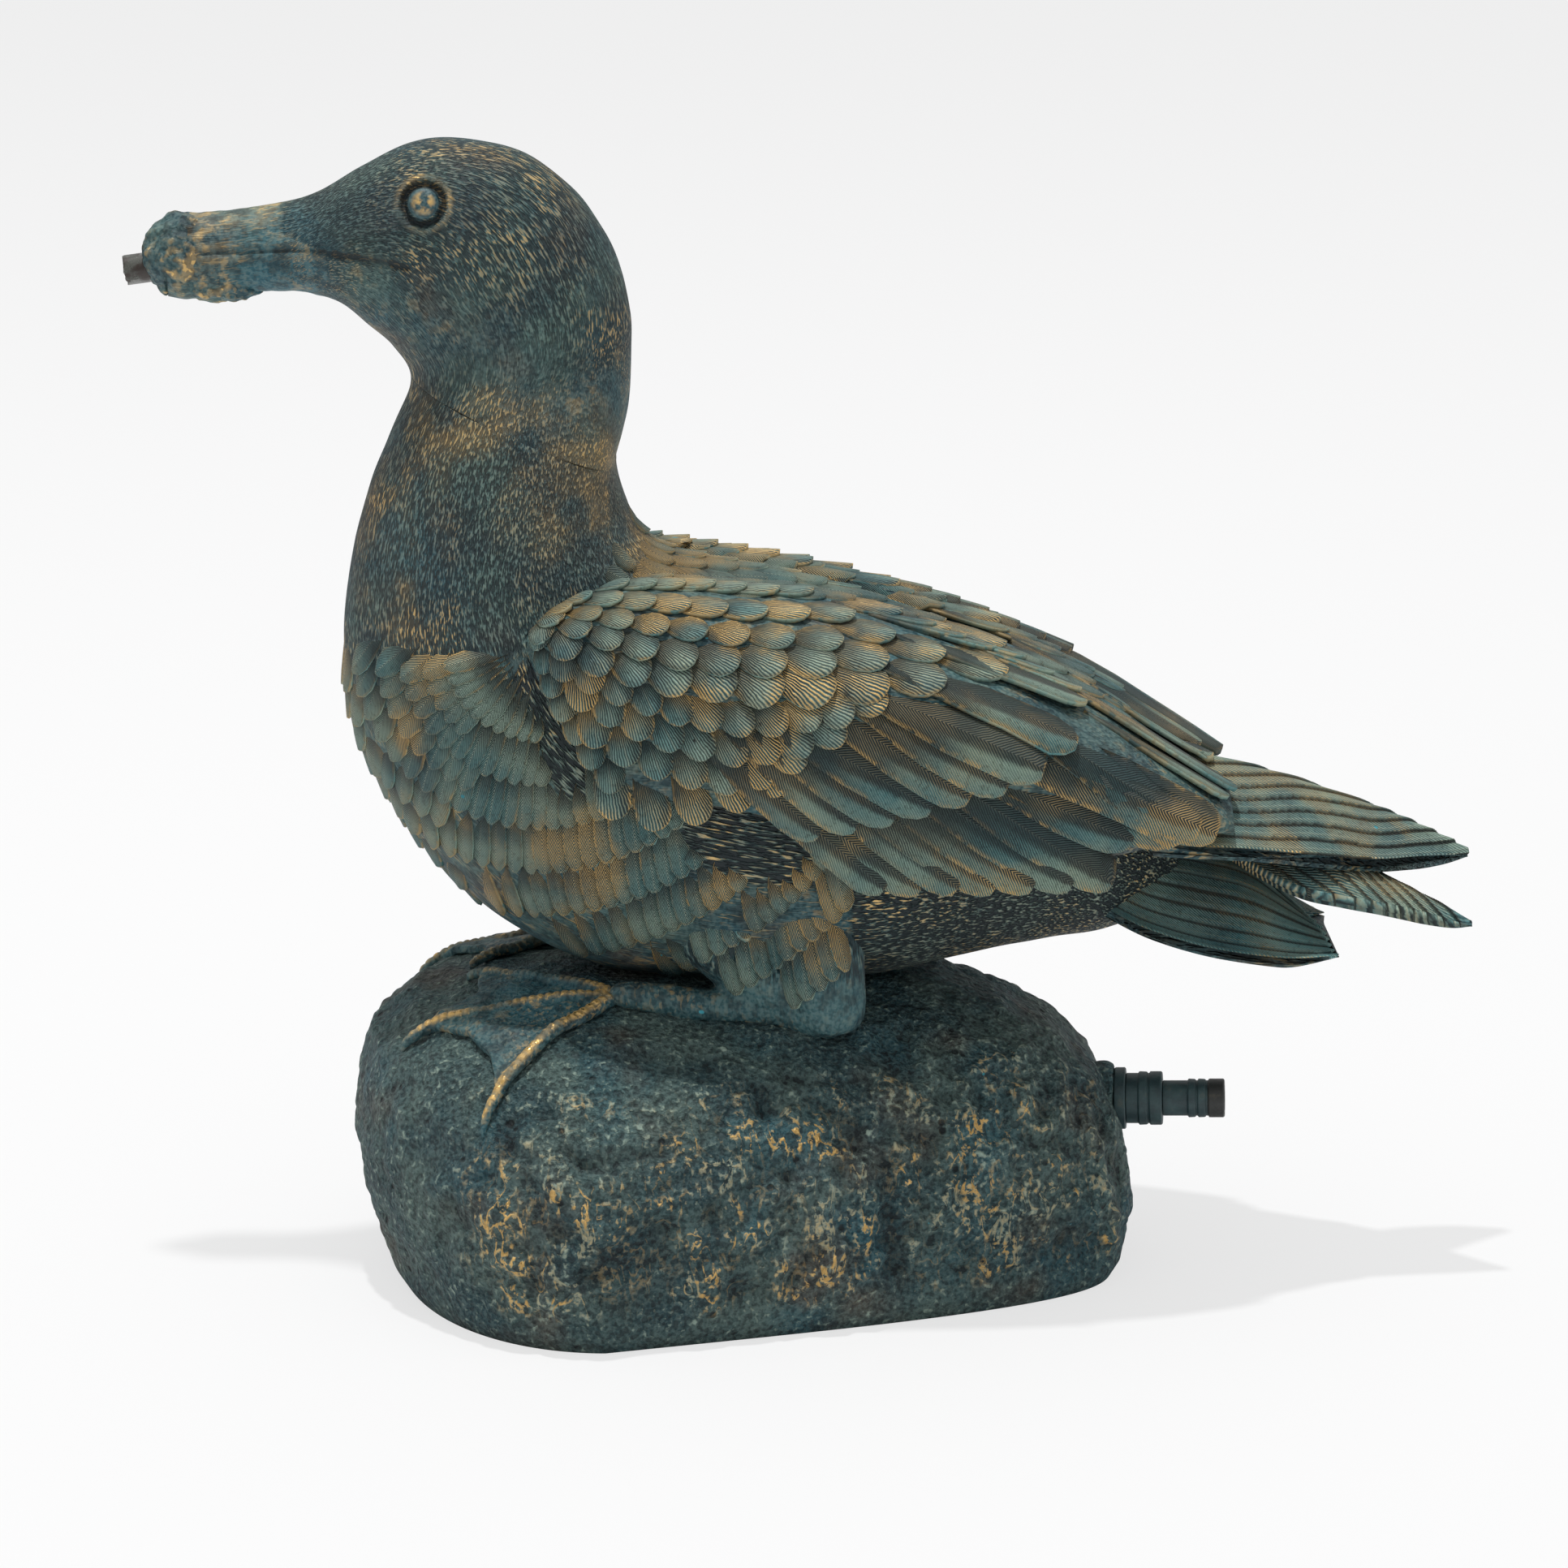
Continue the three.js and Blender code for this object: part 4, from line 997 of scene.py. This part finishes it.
    def row(self, tips, count, length, width, angle, eye=lens_point, **look):
        """A row of scales whose tips follow a line of places seen from the camera's side."""
        line = np.array(tips, float)
        run = np.concatenate([[0], np.cumsum(np.hypot(*np.diff(line, axis=0).T))])
        growth = width[1] / width[0] - 1
        for part in np.linspace(0, 1, count):
            share = part * (1 + growth * part / 2) / (1 + growth / 2)
            x, z = (np.interp(share * run[-1], run, line[:, axis]) for axis in (0, 1))
            size = length[0] + (length[1] - length[0]) * share
            lean = math.radians(angle[0] + (angle[1] - angle[0]) * share + self.chance.uniform(-4, 4))
            tip = self.seen(x, z, eye)
            if tip is None:
                continue
            towards_eye = (eye - tip).normalized()
            root_way = Vector((-math.cos(lean), 0, -math.sin(lean)))
            self.lay(tip, root_way, size * self.chance.uniform(0.95, 1.08),
                     width[0] + (width[1] - width[0]) * share, facing=towards_eye, **look)

    def finish(self, name, thickness, *finishes):
        bmesh.ops.solidify(self.net, geom=self.net.faces[:], thickness=thickness)
        return shown(name, self.net, *finishes)


cover_rows = [
    ([(-0.0769, 0.2244), (-0.0560, 0.2140), (-0.0258, 0.2070), (0.0153, 0.2043), (0.0496, 0.2070),
      (0.0827, 0.2125)], 11, (0.015, 0.031), (0.0105, 0.0215), (-55, -22), 1.15),
    ([(-0.0723, 0.2308), (-0.0511, 0.2230), (-0.0215, 0.2157), (0.0182, 0.2140), (0.0521, 0.2177),
      (0.0818, 0.2221)], 11, (0.014, 0.030), (0.0095, 0.0205), (-55, -20), 1.15),
    ([(-0.0680, 0.2360), (-0.0412, 0.2293), (-0.0130, 0.2256), (0.0238, 0.2235), (0.0577, 0.2270),
      (0.0831, 0.2302)], 11, (0.014, 0.028), (0.0090, 0.0195), (-48, -20), 1.15),
    ([(-0.0609, 0.2403), (-0.0327, 0.2371), (-0.0045, 0.2345), (0.0322, 0.2328),
      (0.0633, 0.2351)], 10, (0.019, 0.030), (0.0110, 0.0190), (-38, -20), 1.15),
    ([(-0.0481, 0.2446), (-0.0185, 0.2441), (0.0096, 0.2415), (0.0407, 0.2406)], 9, (0.021, 0.030),
      (0.0120, 0.0170), (-28, -20), 1.15),
    ([(-0.0354, 0.2493), (-0.0016, 0.2490), (0.0266, 0.2472)], 8, (0.022, 0.034), (0.0120, 0.0150),
      (-18, -18), 1.15),
    ([(-0.0696, 0.2110), (-0.0499, 0.2029), (-0.0272, 0.1953), (0.0003, 0.1921), (0.0267, 0.1965),
      (0.0414, 0.2017)], 11, (0.015, 0.020), (0.0105, 0.0125), (-78, -25), 1.0),
    ([(-0.0635, 0.2003), (-0.0471, 0.1915), (-0.0273, 0.1848), (-0.0074, 0.1812), (0.0111, 0.1842),
      (0.0267, 0.1894)], 9, (0.017, 0.021), (0.0115, 0.0125), (-82, -35), 1.0),
    ([(-0.0591, 0.1871), (-0.0444, 0.1783), (-0.0273, 0.1733), (-0.0117, 0.1710), (0.0011, 0.1739),
      (0.0125, 0.1798)], 7, (0.018, 0.020), (0.0120, 0.0125), (-84, -45), 1.0),
    ([(-0.0513, 0.1636), (-0.0382, 0.1598), (-0.0197, 0.1630), (-0.0071, 0.1651),
      (0.0054, 0.1710)], 5, (0.022, 0.020), (0.0125, 0.0125), (-82, -50), 0.9),
    ([(-0.0786, 0.2221), (-0.0764, 0.2134), (-0.0726, 0.2023), (-0.0676, 0.1915), (-0.0609, 0.1812),
      (-0.0524, 0.1730)], 7, (0.012, 0.015), (0.0085, 0.0105), (-75, -80), 0.7)]
long_rows = [
    ([(0.0520, 0.2389), (0.0689, 0.2331), (0.0831, 0.2267), (0.1002, 0.2198),
      (0.1173, 0.2116)], 8, (0.034, 0.044), (0.0115, 0.0120), (-22, -28), 0.6),
    ([(0.0577, 0.2293), (0.0747, 0.2221), (0.0886, 0.2177), (0.1003, 0.2110),
      (0.1080, 0.2061)], 6, (0.034, 0.050), (0.0125, 0.0125), (-24, -28), 0.6),
    ([(0.0185, 0.1568), (0.0405, 0.1615), (0.0547, 0.1657), (0.0672, 0.1689), (0.0848, 0.1742),
      (0.1058, 0.1842), (0.1091, 0.1930), (0.1095, 0.2008)], 9, (0.052, 0.074), (0.0160, 0.0170),
      (-38, -24), 0.18),
    ([(0.0286, 0.1423), (0.0406, 0.1411), (0.0683, 0.1417), (0.0861, 0.1417), (0.1186, 0.1438),
      (0.1363, 0.1482), (0.1510, 0.1535), (0.1611, 0.1621), (0.1618, 0.1701)], 12, (0.056, 0.094),
      (0.0150, 0.0175), (-40, -26), 0.5),
    ([(0.1273, 0.1547), (0.1438, 0.1571)], 2, (0.060, 0.066), (0.0160, 0.0160), (-27, -24), 0.35),
    ([(0.1596, 0.1680), (0.1530, 0.1812), (0.1403, 0.1950)], 3, (0.058, 0.040), (0.0160, 0.0120),
      (-26, -24), 0.4),
    ([(0.1287, 0.2041), (0.1351, 0.1988), (0.1454, 0.1915), (0.1553, 0.1827)], 5, (0.060, 0.064),
      (0.0120, 0.0120), (-30, -30), 0.4)]


def vaned(piece, steps, along, mask, depth, width, gilt):
    """Long feathers cut into a blade. steps counts them from its edge; each stands over the last."""
    share = steps % 1.0
    fade = mask * step(along, 0.0, 0.012)
    moved(piece.data, depth * (1 - share) * fade)
    chance = np.sin(np.floor(steps) * 12.9898) * 0.5 + 0.5
    painted(piece.data, "barb", np.stack([(along + 1.2 * share * width) / 0.0014,
                                          (share - 0.3) * width * 1000, chance], axis=1))
    painted(piece.data, "edge", np.clip(1 - share * 2.4, 0, 1) * mask)
    # Painted shade at the foot of each step, where the next feather's edge stands over it.
    painted(piece.data, "reach", np.clip((1 - share) * 3.2, 0, 1) * mask + (1 - mask) * 0.5)
    painted(piece.data, "gilt", gilt)
    painted(piece.data, "grain", points_of(piece.data) / np.array([0.006, 0.0014, 0.0014]))
    for label, value in (("coarse", 0.0), ("proud", 0.0), ("bald", 0.4)):
        painted(piece.data, label, value)


def under_skin(net):
    """Gives the underside of a blade the second finish."""
    turns = net.verts.layers.float["turn"]
    for face in net.faces:
        face.material_index = int(any(0.51 < v[turns] < 0.999 for v in face.verts))


quill_thickness = 0.005
quill_step = 0.0058
wing_net = rolled(72, 110, cover_place)
closed_ends(wing_net)
shells = {}
for side, quills in (("left", left_quills), ("right", right_quills)):
    quill_net = rolled(200, 150, blade_place(quills, quill_thickness))
    closed_ends(quill_net)
    shell_net = wing_net.copy()
    if side == "right":
        flipped(shell_net)
    eye = lens_point if side == "left" else Vector((lens_point.x, -lens_point.y, lens_point.z))
    plumes = Plumes([shell_net, quill_net])
    for tips, count, length, width, angle, gilt in cover_rows:
        plumes.row(tips, count, length, width, angle, eye, spread=24.0, pitch=0.0012, gilt=gilt,
                   lift=0.0022, roll=0.0006)
    for tips, count, length, width, angle, gilt in long_rows:
        plumes.row(tips, count, length, width, angle, eye, slant=1.5, pitch=0.0014, gilt=gilt, rows=8,
                   lift=0.0032 if count > 8 else 0.0022, roll=0.0015, point=0.7,
                   sink=0.0 if count > 8 else 0.0007)
    scales = plumes.finish(side + "_wing_plumes", 0.0016, feathered)
    shell = shown(side + "_wing_shell", shell_net, plumage)
    under_skin(quill_net)
    vanes = shown(side + "_wing_quills", quill_net, feathered, plumage)
    points, way = points_of(vanes.data), kept(vanes.data, "way")
    edge_points = blade_place(quills, quill_thickness)(np.zeros(len(way)), way)
    steps = np.linalg.norm(points - edge_points, axis=1) / quill_step + 0.25 * swell(points, 0.03, 1.7)
    upper_side = step(0.5 - kept(vanes.data, "turn"), 0.0, 0.01)
    vaned(vanes, steps, points[:, 0] - 0.13, upper_side, 0.0011, quill_step, 0.45)
    shells[side] = shell
    points = points_of(shell.data)
    painted(shell.data, "grain", points / np.array([0.006, 0.0012, 0.0012]))
    for label, value in (("coarse", 0.0), ("proud", 0.0), ("bald", 0.75)):
        painted(shell.data, label, value)
    for piece in (shell, vanes, scales):
        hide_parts(side + "_wing")
wing_net.free()

# Below the neck the breast and belly carry larger, flat plumes cut in rings about the
# shoulder, upright over the thigh and at the very front. Two patches are left bare, with
# deep dark strokes.
shoulder = np.array([-0.0794, 0.2221])
bare_front = np.array([(-0.0894, 0.2134), (-0.0794, 0.2221), (-0.0697, 0.2076), (-0.0601, 0.1680),
                       (-0.0729, 0.1680), (-0.0826, 0.1930)])
bare_rear = np.array([(-0.0317, 0.1621), (-0.0131, 0.1665), (0.0040, 0.1606), (0.0183, 0.1458),
                      (0.0154, 0.1355), (-0.0132, 0.1384), (-0.0303, 0.1488)])


def within(spot, outline):
    """Whether a place seen from the side lies inside an outline."""
    crossings = 0
    for (x1, z1), (x2, z2) in zip(outline, np.roll(outline, -1, axis=0)):
        if (z1 > spot[1]) != (z2 > spot[1]) and spot[0] < x1 + (spot[1] - z1) * (x2 - x1) / (z2 - z1):
            crossings += 1
    return crossings % 2 == 1


def flattened(points):
    """Where each point is seen on the bird's middle plane from the camera's side of it."""
    near_y = -np.abs(points[:, 1])
    share = lens_point.y / (near_y - lens_point.y)
    return np.stack([lens_point.x - (points[:, 0] - lens_point.x) * share,
                     lens_point.z - (points[:, 2] - lens_point.z) * share], axis=1)


spots = flattened(trunk_points)
covered = step(under, 0.002, 0.006) * (spots[:, 0] < 0.03)
for index in np.flatnonzero(covered > 0):
    if within(spots[index], bare_front) or within(spots[index], bare_rear):
        covered[index] = 0
painted(trunk.data, "bald", covered * 0.8)
trunk_net = net_of(trunk.data)
leg_net = net_of(leg.data)
breast = Plumes([trunk_net])
thigh_plumes = Plumes([leg_net])
for ring_index, radius in enumerate(np.arange(0.205, 0.02, -0.0078)):
    small = step(np.array([radius]), 0.02, 0.07)[0]
    turn = 2.2 + 0.03 * (ring_index % 2)
    while turn < 6.6:
        broad = math.exp(-((turn - 3.5) / 0.62) ** 2) * small
        width = 0.0062 + 0.0016 * small + 0.0050 * broad
        turn += 0.7 * width / radius
        spot = shoulder + radius * np.array([math.cos(turn), math.sin(turn)])
        if (broad < 0.3 and ring_index % 2) or within(spot, bare_front) or within(spot, bare_rear):
            continue
        tip, bed = breast.seen(*spot), breast
        aim = (Vector((spot[0], 0, spot[1])) - lens_point).normalized()
        on_leg = thigh_plumes.ground.ray_cast(lens_point, aim)[0]
        if on_leg and tip and on_leg.y < tip.y:
            tip, bed = on_leg, thigh_plumes
        if tip is None or neck_line(np.array([tip]))[0] < 0.003:
            continue
        if tip.z < perch - 0.004 or tip.x > 0.050:
            continue
        if abs(breast.ground.find_nearest(tip)[1].y) < 0.36 and tip.x < -0.09:
            continue
        if (spot[0] > 0.030 and spot[1] < 0.15) or (tip.y < -0.036 and tip.z < perch - 0.001) or (
                bed is thigh_plumes and tip.x < -0.028):
            continue
        outward = (spot - shoulder) / radius + np.array([0, -0.7 * broad])
        if outward[0] > 0:
            outward[0] *= 0.25
        outward /= np.hypot(*outward)
        length = 0.0235 + 0.0055 * small - 0.010 * broad
        for share in (0.25, 0.5, 0.75, 1.0):
            root = spot - outward * length * share
            if within(root, bare_front) or within(root, bare_rear):
                length = max(0.009, length * share)
                break
        bed.lay(tip, Vector((-outward[0], 0, -outward[1])), length, width, lift=0.0012, roll=0.0005,
                slant=2.0, pitch=0.0012, point=0.8, gilt=0.7, rows=4, sink=0.0004, shade=0.95)
front = Plumes([trunk_net])
for row, z in enumerate(np.arange(0.126, 0.234, 0.0105)):
    width = np.interp(z, [0.126, 0.17, 0.234], [0.0095, 0.0125, 0.0110])
    for index in range(-6, 7):
        y = (index + 0.5 * (row % 2)) * width * 0.92
        ahead = Vector((-0.4, y, z + 0.9 * abs(y) * step(z, 0.2, 0.13)))
        tip, outward, _, _ = front.ground.ray_cast(ahead, Vector((1, 0, 0)))
        if tip and abs(outward.y) < 0.44 and neck_line(np.array([tip]))[0] > 0.002:
            front.lay(tip, Vector((0.4, 0.5 * y / 0.03, 1)), 0.021,
                      width * front.chance.uniform(0.98, 1.12), lift=0.0012, roll=0.0, slant=2.0,
                      pitch=0.0012, point=0.7, gilt=0.7, rows=5, sink=0.0004, shade=0.9,
                      facing=Vector((-1, 0, 0)))
trunk_net.free()
leg_net.free()
breast_front = front.finish("front_breast_plumes", 0.0012, feathered)
breast_near = breast.finish("near_breast_plumes", 0.0012, feathered)
breast_far = mirror_copy(breast_near, "far_breast_plumes")
thigh_near = thigh_plumes.finish("left_thigh_plumes", 0.0012, feathered)
thigh_far = mirror_copy(thigh_near, "right_thigh_plumes")
for piece, side in ((thigh_near, "left"), (thigh_far, "right")):
    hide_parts(side + "_leg")

# Over the back, between the wings, lie rows of long flat plumes that start as small
# bronzed scales at the nape.
mantle = Plumes([net_of(piece.data) for piece in (trunk, shells["left"], shells["right"])])
for row, x in enumerate(np.arange(0.1248, -0.058, -0.0104)):
    size = step(np.array([x]), -0.05, 0.03)[0]
    width = 0.0078 + 0.0052 * size
    reach = np.interp(x, [-0.058, -0.03, 0.02, 0.06, 0.104], [0.050, 0.040, 0.034, 0.031, 0.026])
    for index in range(-int(reach / width), int(reach / width) + 1):
        y = (index + 0.5 * (row % 2)) * width * 0.95
        tip, upright, _, _ = mantle.ground.ray_cast(Vector((x, y, 0.6)), Vector((0, 0, -1)))
        if tip is None or tip.z > perch + 0.170 or upright.z < 0.6:
            continue
        tip = tip + Vector((mantle.chance.uniform(-0.0012, 0.0012), 0, 0))
        mantle.lay(tip, Vector((-1, -2.2 * y, 0)), 0.018 + 0.014 * size,
                   width * mantle.chance.uniform(1.0, 1.25), lift=0.0009,
                   roll=mantle.chance.uniform(-0.0003, 0.0003), slant=1.8, pitch=0.0012, point=0.8,
                   gilt=0.9 - 0.35 * size, facing=Vector((0, 0, 1)))
mantle_scales = mantle.finish("mantle_plumes", 0.0014, feathered)
for piece in (breast_near, breast_far, breast_front, mantle_scales):
    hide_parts("duck_body")

# The tail is a flat cast fan under the crossed quills. Its long feathers are cut as steps
# that rise towards the middle, with rounded ends.
tail_steps = 7.5
tail_thickness = 0.0038
tail_table = np.array([
    [118, -20, 24, 0, 50, 20, 24], [132, -29, 19, 0, 43, 29, 19], [150, -32.5, 14, 0, 40, 32.5, 14],
    [168, -34, 11, 0, 35.5, 34, 11], [184, -33, 9.3, 0, 26, 33, 9.3],
    [199.5, -27, 8.6, 0, 14.5, 27, 8.6]]) / 1000


def fan_place(turn, way):
    """The blade with each feather's end rounded off, and the middle ones a little shorter."""
    spots = blade_place(tail_table, tail_thickness)(turn, way)
    share = np.where(turn < 0.5, turn * 4, 4 - turn * 4)
    steps = (1 - np.abs(share - 1)) * tail_steps
    rounded = 0.0045 * np.abs(2 * (steps % 1.0) - 1) ** 2.5
    rounded += 0.0015 * np.sin(np.floor(steps) * 7.0 + share)
    middle = 0.008 * np.exp(-((share - 1) / 0.45) ** 2)
    spots[:, 0] -= rounded * step(way, 0.93, 1.0) + middle * step(way, 0.5, 1.0)
    return spots


net = rolled(264, 90, fan_place)
closed_ends(net)
under_skin(net)
# The tail's paint is bluer than the wing feathers' and, as painted light, paler too, to make up for the
# shade the quills cast over the tail.
tail_feathers_painted_light = verdigris("verdigris_tail_painted_light", barbed, rub=1.2, brown=0.2, depth=0.0009,
                          deep=(84, 156, 162), pale=(150, 194, 188), frost=0.9)
tail = shown("tail_blade", net, tail_feathers_painted_light, plumage)
points, turn = points_of(tail.data), kept(tail.data, "turn")
share = np.where(turn < 0.5, turn * 4, 4 - turn * 4)
steps = (1 - np.abs(share - 1)) * tail_steps
vaned(tail, steps, points[:, 0] - 0.12, step(0.5 - turn, 0.0, 0.01), 0.0010, 0.0062, 0.3)
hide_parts("tail_fan")

# The bill's end is closed with putty, worked by hand round the hose. It is lumpy and folded,
# runs back under the chin, and is painted with the bird.
def solid_copy(node, voxel, rounds):
    """The node's own shape with its facets rounded away."""
    net = net_of(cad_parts[node].data)
    bmesh.ops.remove_doubles(net, verts=net.verts, dist=1e-6)
    return fused(net, voxel, rounds)


lump = bmesh.new()
bmesh.ops.create_uvsphere(lump, u_segments=32, v_segments=20, radius=1)
for vertex in lump.verts:
    low = max(0.0, -vertex.co.z)
    x, y, z = vertex.co
    vertex.co = (-0.1985 + 0.0145 * x + 0.0065 * low, 0.0120 * y, 0.3598 + 0.0155 * z)
chin = bmesh.new()
bmesh.ops.create_uvsphere(chin, u_segments=32, v_segments=20, radius=1)
for vertex in chin.verts:
    vertex.co = (-0.1840 + 0.0125 * vertex.co.x, 0.0085 * vertex.co.y, 0.3500 + 0.0052 * vertex.co.z)
seal = solid_copy("spout_seal", 0.0006, 3)
putty = shown("spout_putty", fused(joined([lump, chin, seal]), 0.0005, 8), plumage)
points = points_of(putty.data)
folds = swell(points * np.array([0.7, 1, 1]), 0.0042, 4.1) + 0.5 * swell(points, 0.0021, 9.9)
moved(putty.data, 0.0013 * folds)
painted(putty.data, "proud", step(folds, 0.15, 0.55) * 0.75)
painted(putty.data, "bald", 0.9)
painted(putty.data, "coarse", 0.0)
painted(putty.data, "grain", points / 0.0016)
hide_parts("spout_seal")

# The hose is clear soft tube, cut by hand at the bill and smeared there with the brown
# undercoat. It runs down the neck and through the rock to the hose tail.
axis_turn = Matrix.Rotation(math.radians(-6), 4, "Z") @ Matrix.Rotation(math.radians(-2), 4, "Y")
axis_turn = axis_turn @ Matrix.Rotation(math.radians(90), 4, "Y")
tail_place = Matrix.Translation((0.12363, 0, 0.058)) @ axis_turn
tube_rows = [list(tail_place @ Vector((0, 0, -0.0133 - share * 0.024))) for share in (0, 0.5, 1, 1.5)]
tube_rows += [[x / 1000, 0, perch + z / 1000] for x, z in (
    (50, -48), (22, -38), (4, -16), (-10, 12), (-30, 50), (-56, 90), (-76, 130), (-87, 170), (-93, 205),
    (-106, 234), (-130, 250), (-158, 254), (-186, 250), (-204, 247.3), (-211.5, 246.2), (-219.2, 245.1))]
tube_rows = np.array(tube_rows)


def tube_wall(radius):
    def place_of(turn, way):
        rows = row_along(tube_rows, way)
        ahead = row_along(tube_rows, np.minimum(way + 0.003, 1))
        along = ahead - row_along(tube_rows, np.maximum(way - 0.003, 0))
        along /= np.linalg.norm(along, axis=1)[:, None]
        over = np.cross(along, np.array([0, 1, 0]))
        over /= np.linalg.norm(over, axis=1)[:, None]
        across = np.cross(over, along)
        angle = (turn * 2 * math.pi)[:, None]
        ragged = (way > 0.999)[:, None] * along * 0.0005 * np.sin(3 * angle + 1) * np.cos(7 * angle)
        return rows + radius * (np.cos(angle) * across + np.sin(angle) * over) + ragged
    return place_of


net = joined([rolled(40, 240, tube_wall(0.00515)), rolled(40, 240, tube_wall(0.00365))])
rims = [edge for edge in net.edges if edge.is_boundary]
bmesh.ops.bridge_loops(net, edges=[edge for edge in rims if edge.verts[0].co.x > 0])
bmesh.ops.bridge_loops(net, edges=[edge for edge in net.edges if edge.is_boundary])
bmesh.ops.recalc_face_normals(net, faces=net.faces)
clear, clear_shader = blank_finish("clear_soft_hose")
place = own_place()
smear = speckle(place, 300.0, 4.0)
x_place = Wire.node("ShaderNodeSeparateXYZ", {}, {0: place})
brown = smear.between(0.42, 0.6) * (0.0 - x_place).between(0.19, 0.216)
fed(clear_shader, {"Base Color": brown.towards(paint(88, 90, 84), paint(44, 34, 28)),
                   "Roughness": 0.2 + smear * 0.25, "Alpha": brown * 0.3 + 0.65})
tube = shown("clear_tube", net, clear)
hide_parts("water_tube")

# The hose tail at the rear is a turned plastic fitting: a flange, a stepped shank with
# sloping rings, and a worn brown ring at its mouth. A smooth bead seals it in the stone.
profile = [(-37, 2), (-37, 3.05), (-13, 3.05), (-13, 8.35), (0, 8.35),
           (0, 10.6), (0.4, 11), (3.6, 11), (4, 10.6)]
for start, length, rings, crest in ((4, 13, ((0.35, 0.6), (0.65, 1)), 9.55),
                                    (17, 22, ((0.41, 0.54), (0.57, 0.7), (0.74, 1)), 6.9)):
    profile += [(start + 0.05, crest - 1.1), (start + 0.35, crest - 0.6)]
    for low, high in rings:
        low, high = start + low * length, start + high * length
        profile += [(low - 0.25, crest - 0.6), (low, crest - 0.45),
                    (low + 0.15, crest - 0.12), (low + 0.5, crest),
                    (high - 0.5, crest if high > start + length - 1 else crest - 0.1),
                    (high - 0.1, crest - 0.3), (high + 0.02, crest - 0.6)]
profile += [(39, 6.0), (39, 4.8), (38.7, 4.5), (-8.5, 4.5), (-13, 2)]
net = bmesh.new()
ring = [net.verts.new((radius / 1000, 0, along / 1000)) for along, radius in profile]
spokes = [net.edges.new(pair) for pair in zip(ring, ring[1:] + ring[:1])]
bmesh.ops.spin(net, geom=ring + spokes, axis=(0, 0, 1), cent=(0, 0, 0), steps=72, angle=2 * math.pi,
               use_merge=True, use_duplicate=False)
bmesh.ops.remove_doubles(net, verts=net.verts, dist=1e-7)
bmesh.ops.recalc_face_normals(net, faces=net.faces)
mouth_layer = net.verts.layers.float.new("mouth")
for vertex in net.verts:
    vertex[mouth_layer] = vertex.co.z * 1000
bmesh.ops.transform(net, matrix=tail_place, verts=net.verts)
plastic, plastic_shader = blank_finish("moulded_plastic")
place = own_place()
scuff = speckle(place, 180.0, 5.0)
fine = speckle(place, 900.0)
mouth = named("mouth", "Fac").between(32.8, 33.4)
ground = scuff.between(0.35, 0.65).towards(paint(30, 52, 56), paint(48, 72, 74))
ground = mouth.towards(ground, paint(38, 40, 38))
ground = (scuff.between(0.58, 0.7) * 0.3).towards(ground, paint(96, 92, 78))
fed(plastic_shader, {"Base Color": ground, "Roughness": 0.38 + scuff * 0.3,
                     "Normal": bumped(0.6, 0.0002, fine + scuff)})
fitting = shown("hose_tail_fitting", net, plastic)
fitting.data.polygons.foreach_set("use_smooth", [False] * len(fitting.data.polygons))
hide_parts("hose_tail")

# A bead of sealant, painted with the stone, closes the joint where the hose tail leaves
# the rock.
bead = shown("tail_bead", solid_copy("tail_seal", 0.0006, 8), stone)
moved(bead.data, 0.0003 * swell(points_of(bead.data), 0.004, 1.1))
for label in ("flank", "lump"):
    painted(bead.data, label, 0.0)
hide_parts("tail_seal")

# The plate under the rock is cast resin left bare, and the pins and the hose clip are
# steel; all of these keep their made shape.
for label, dark, light, shine, metal, nodes, slot in (
        ("bare_resin", paint(44, 48, 49), paint(74, 78, 78), 0.75, 0.0, ("base_plate",), "plate"),
        ("plain_steel", paint(120, 122, 124), paint(168, 170, 172), 0.32, 0.9,
         ("hose_clip", "left_dowel", "right_dowel"), "steel")):
    finish, shader = blank_finish(label)
    streak = speckle(own_place(), 120.0, 5.0)
    fed(shader, {"Base Color": streak.between(0.3, 0.7).towards(dark, light),
                 "Roughness": shine + (streak - 0.5) * 0.3, "Normal": bumped(0.5, 0.0003, streak)})
    shader.inputs["Metallic"].default_value = metal
    for node in nodes:
        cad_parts[node].data.materials.clear()
        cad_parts[node].data.materials.append(finish)

# The boxes of the bare solids and of the dressed figure are measured, and each is made into a line of
# text.
size_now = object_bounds()
for label, low, high in (("cad", cad_low, cad_high), ("visual", *size_now)):
    label + " " + json.dumps([list(low), list(high)]) + "\n"
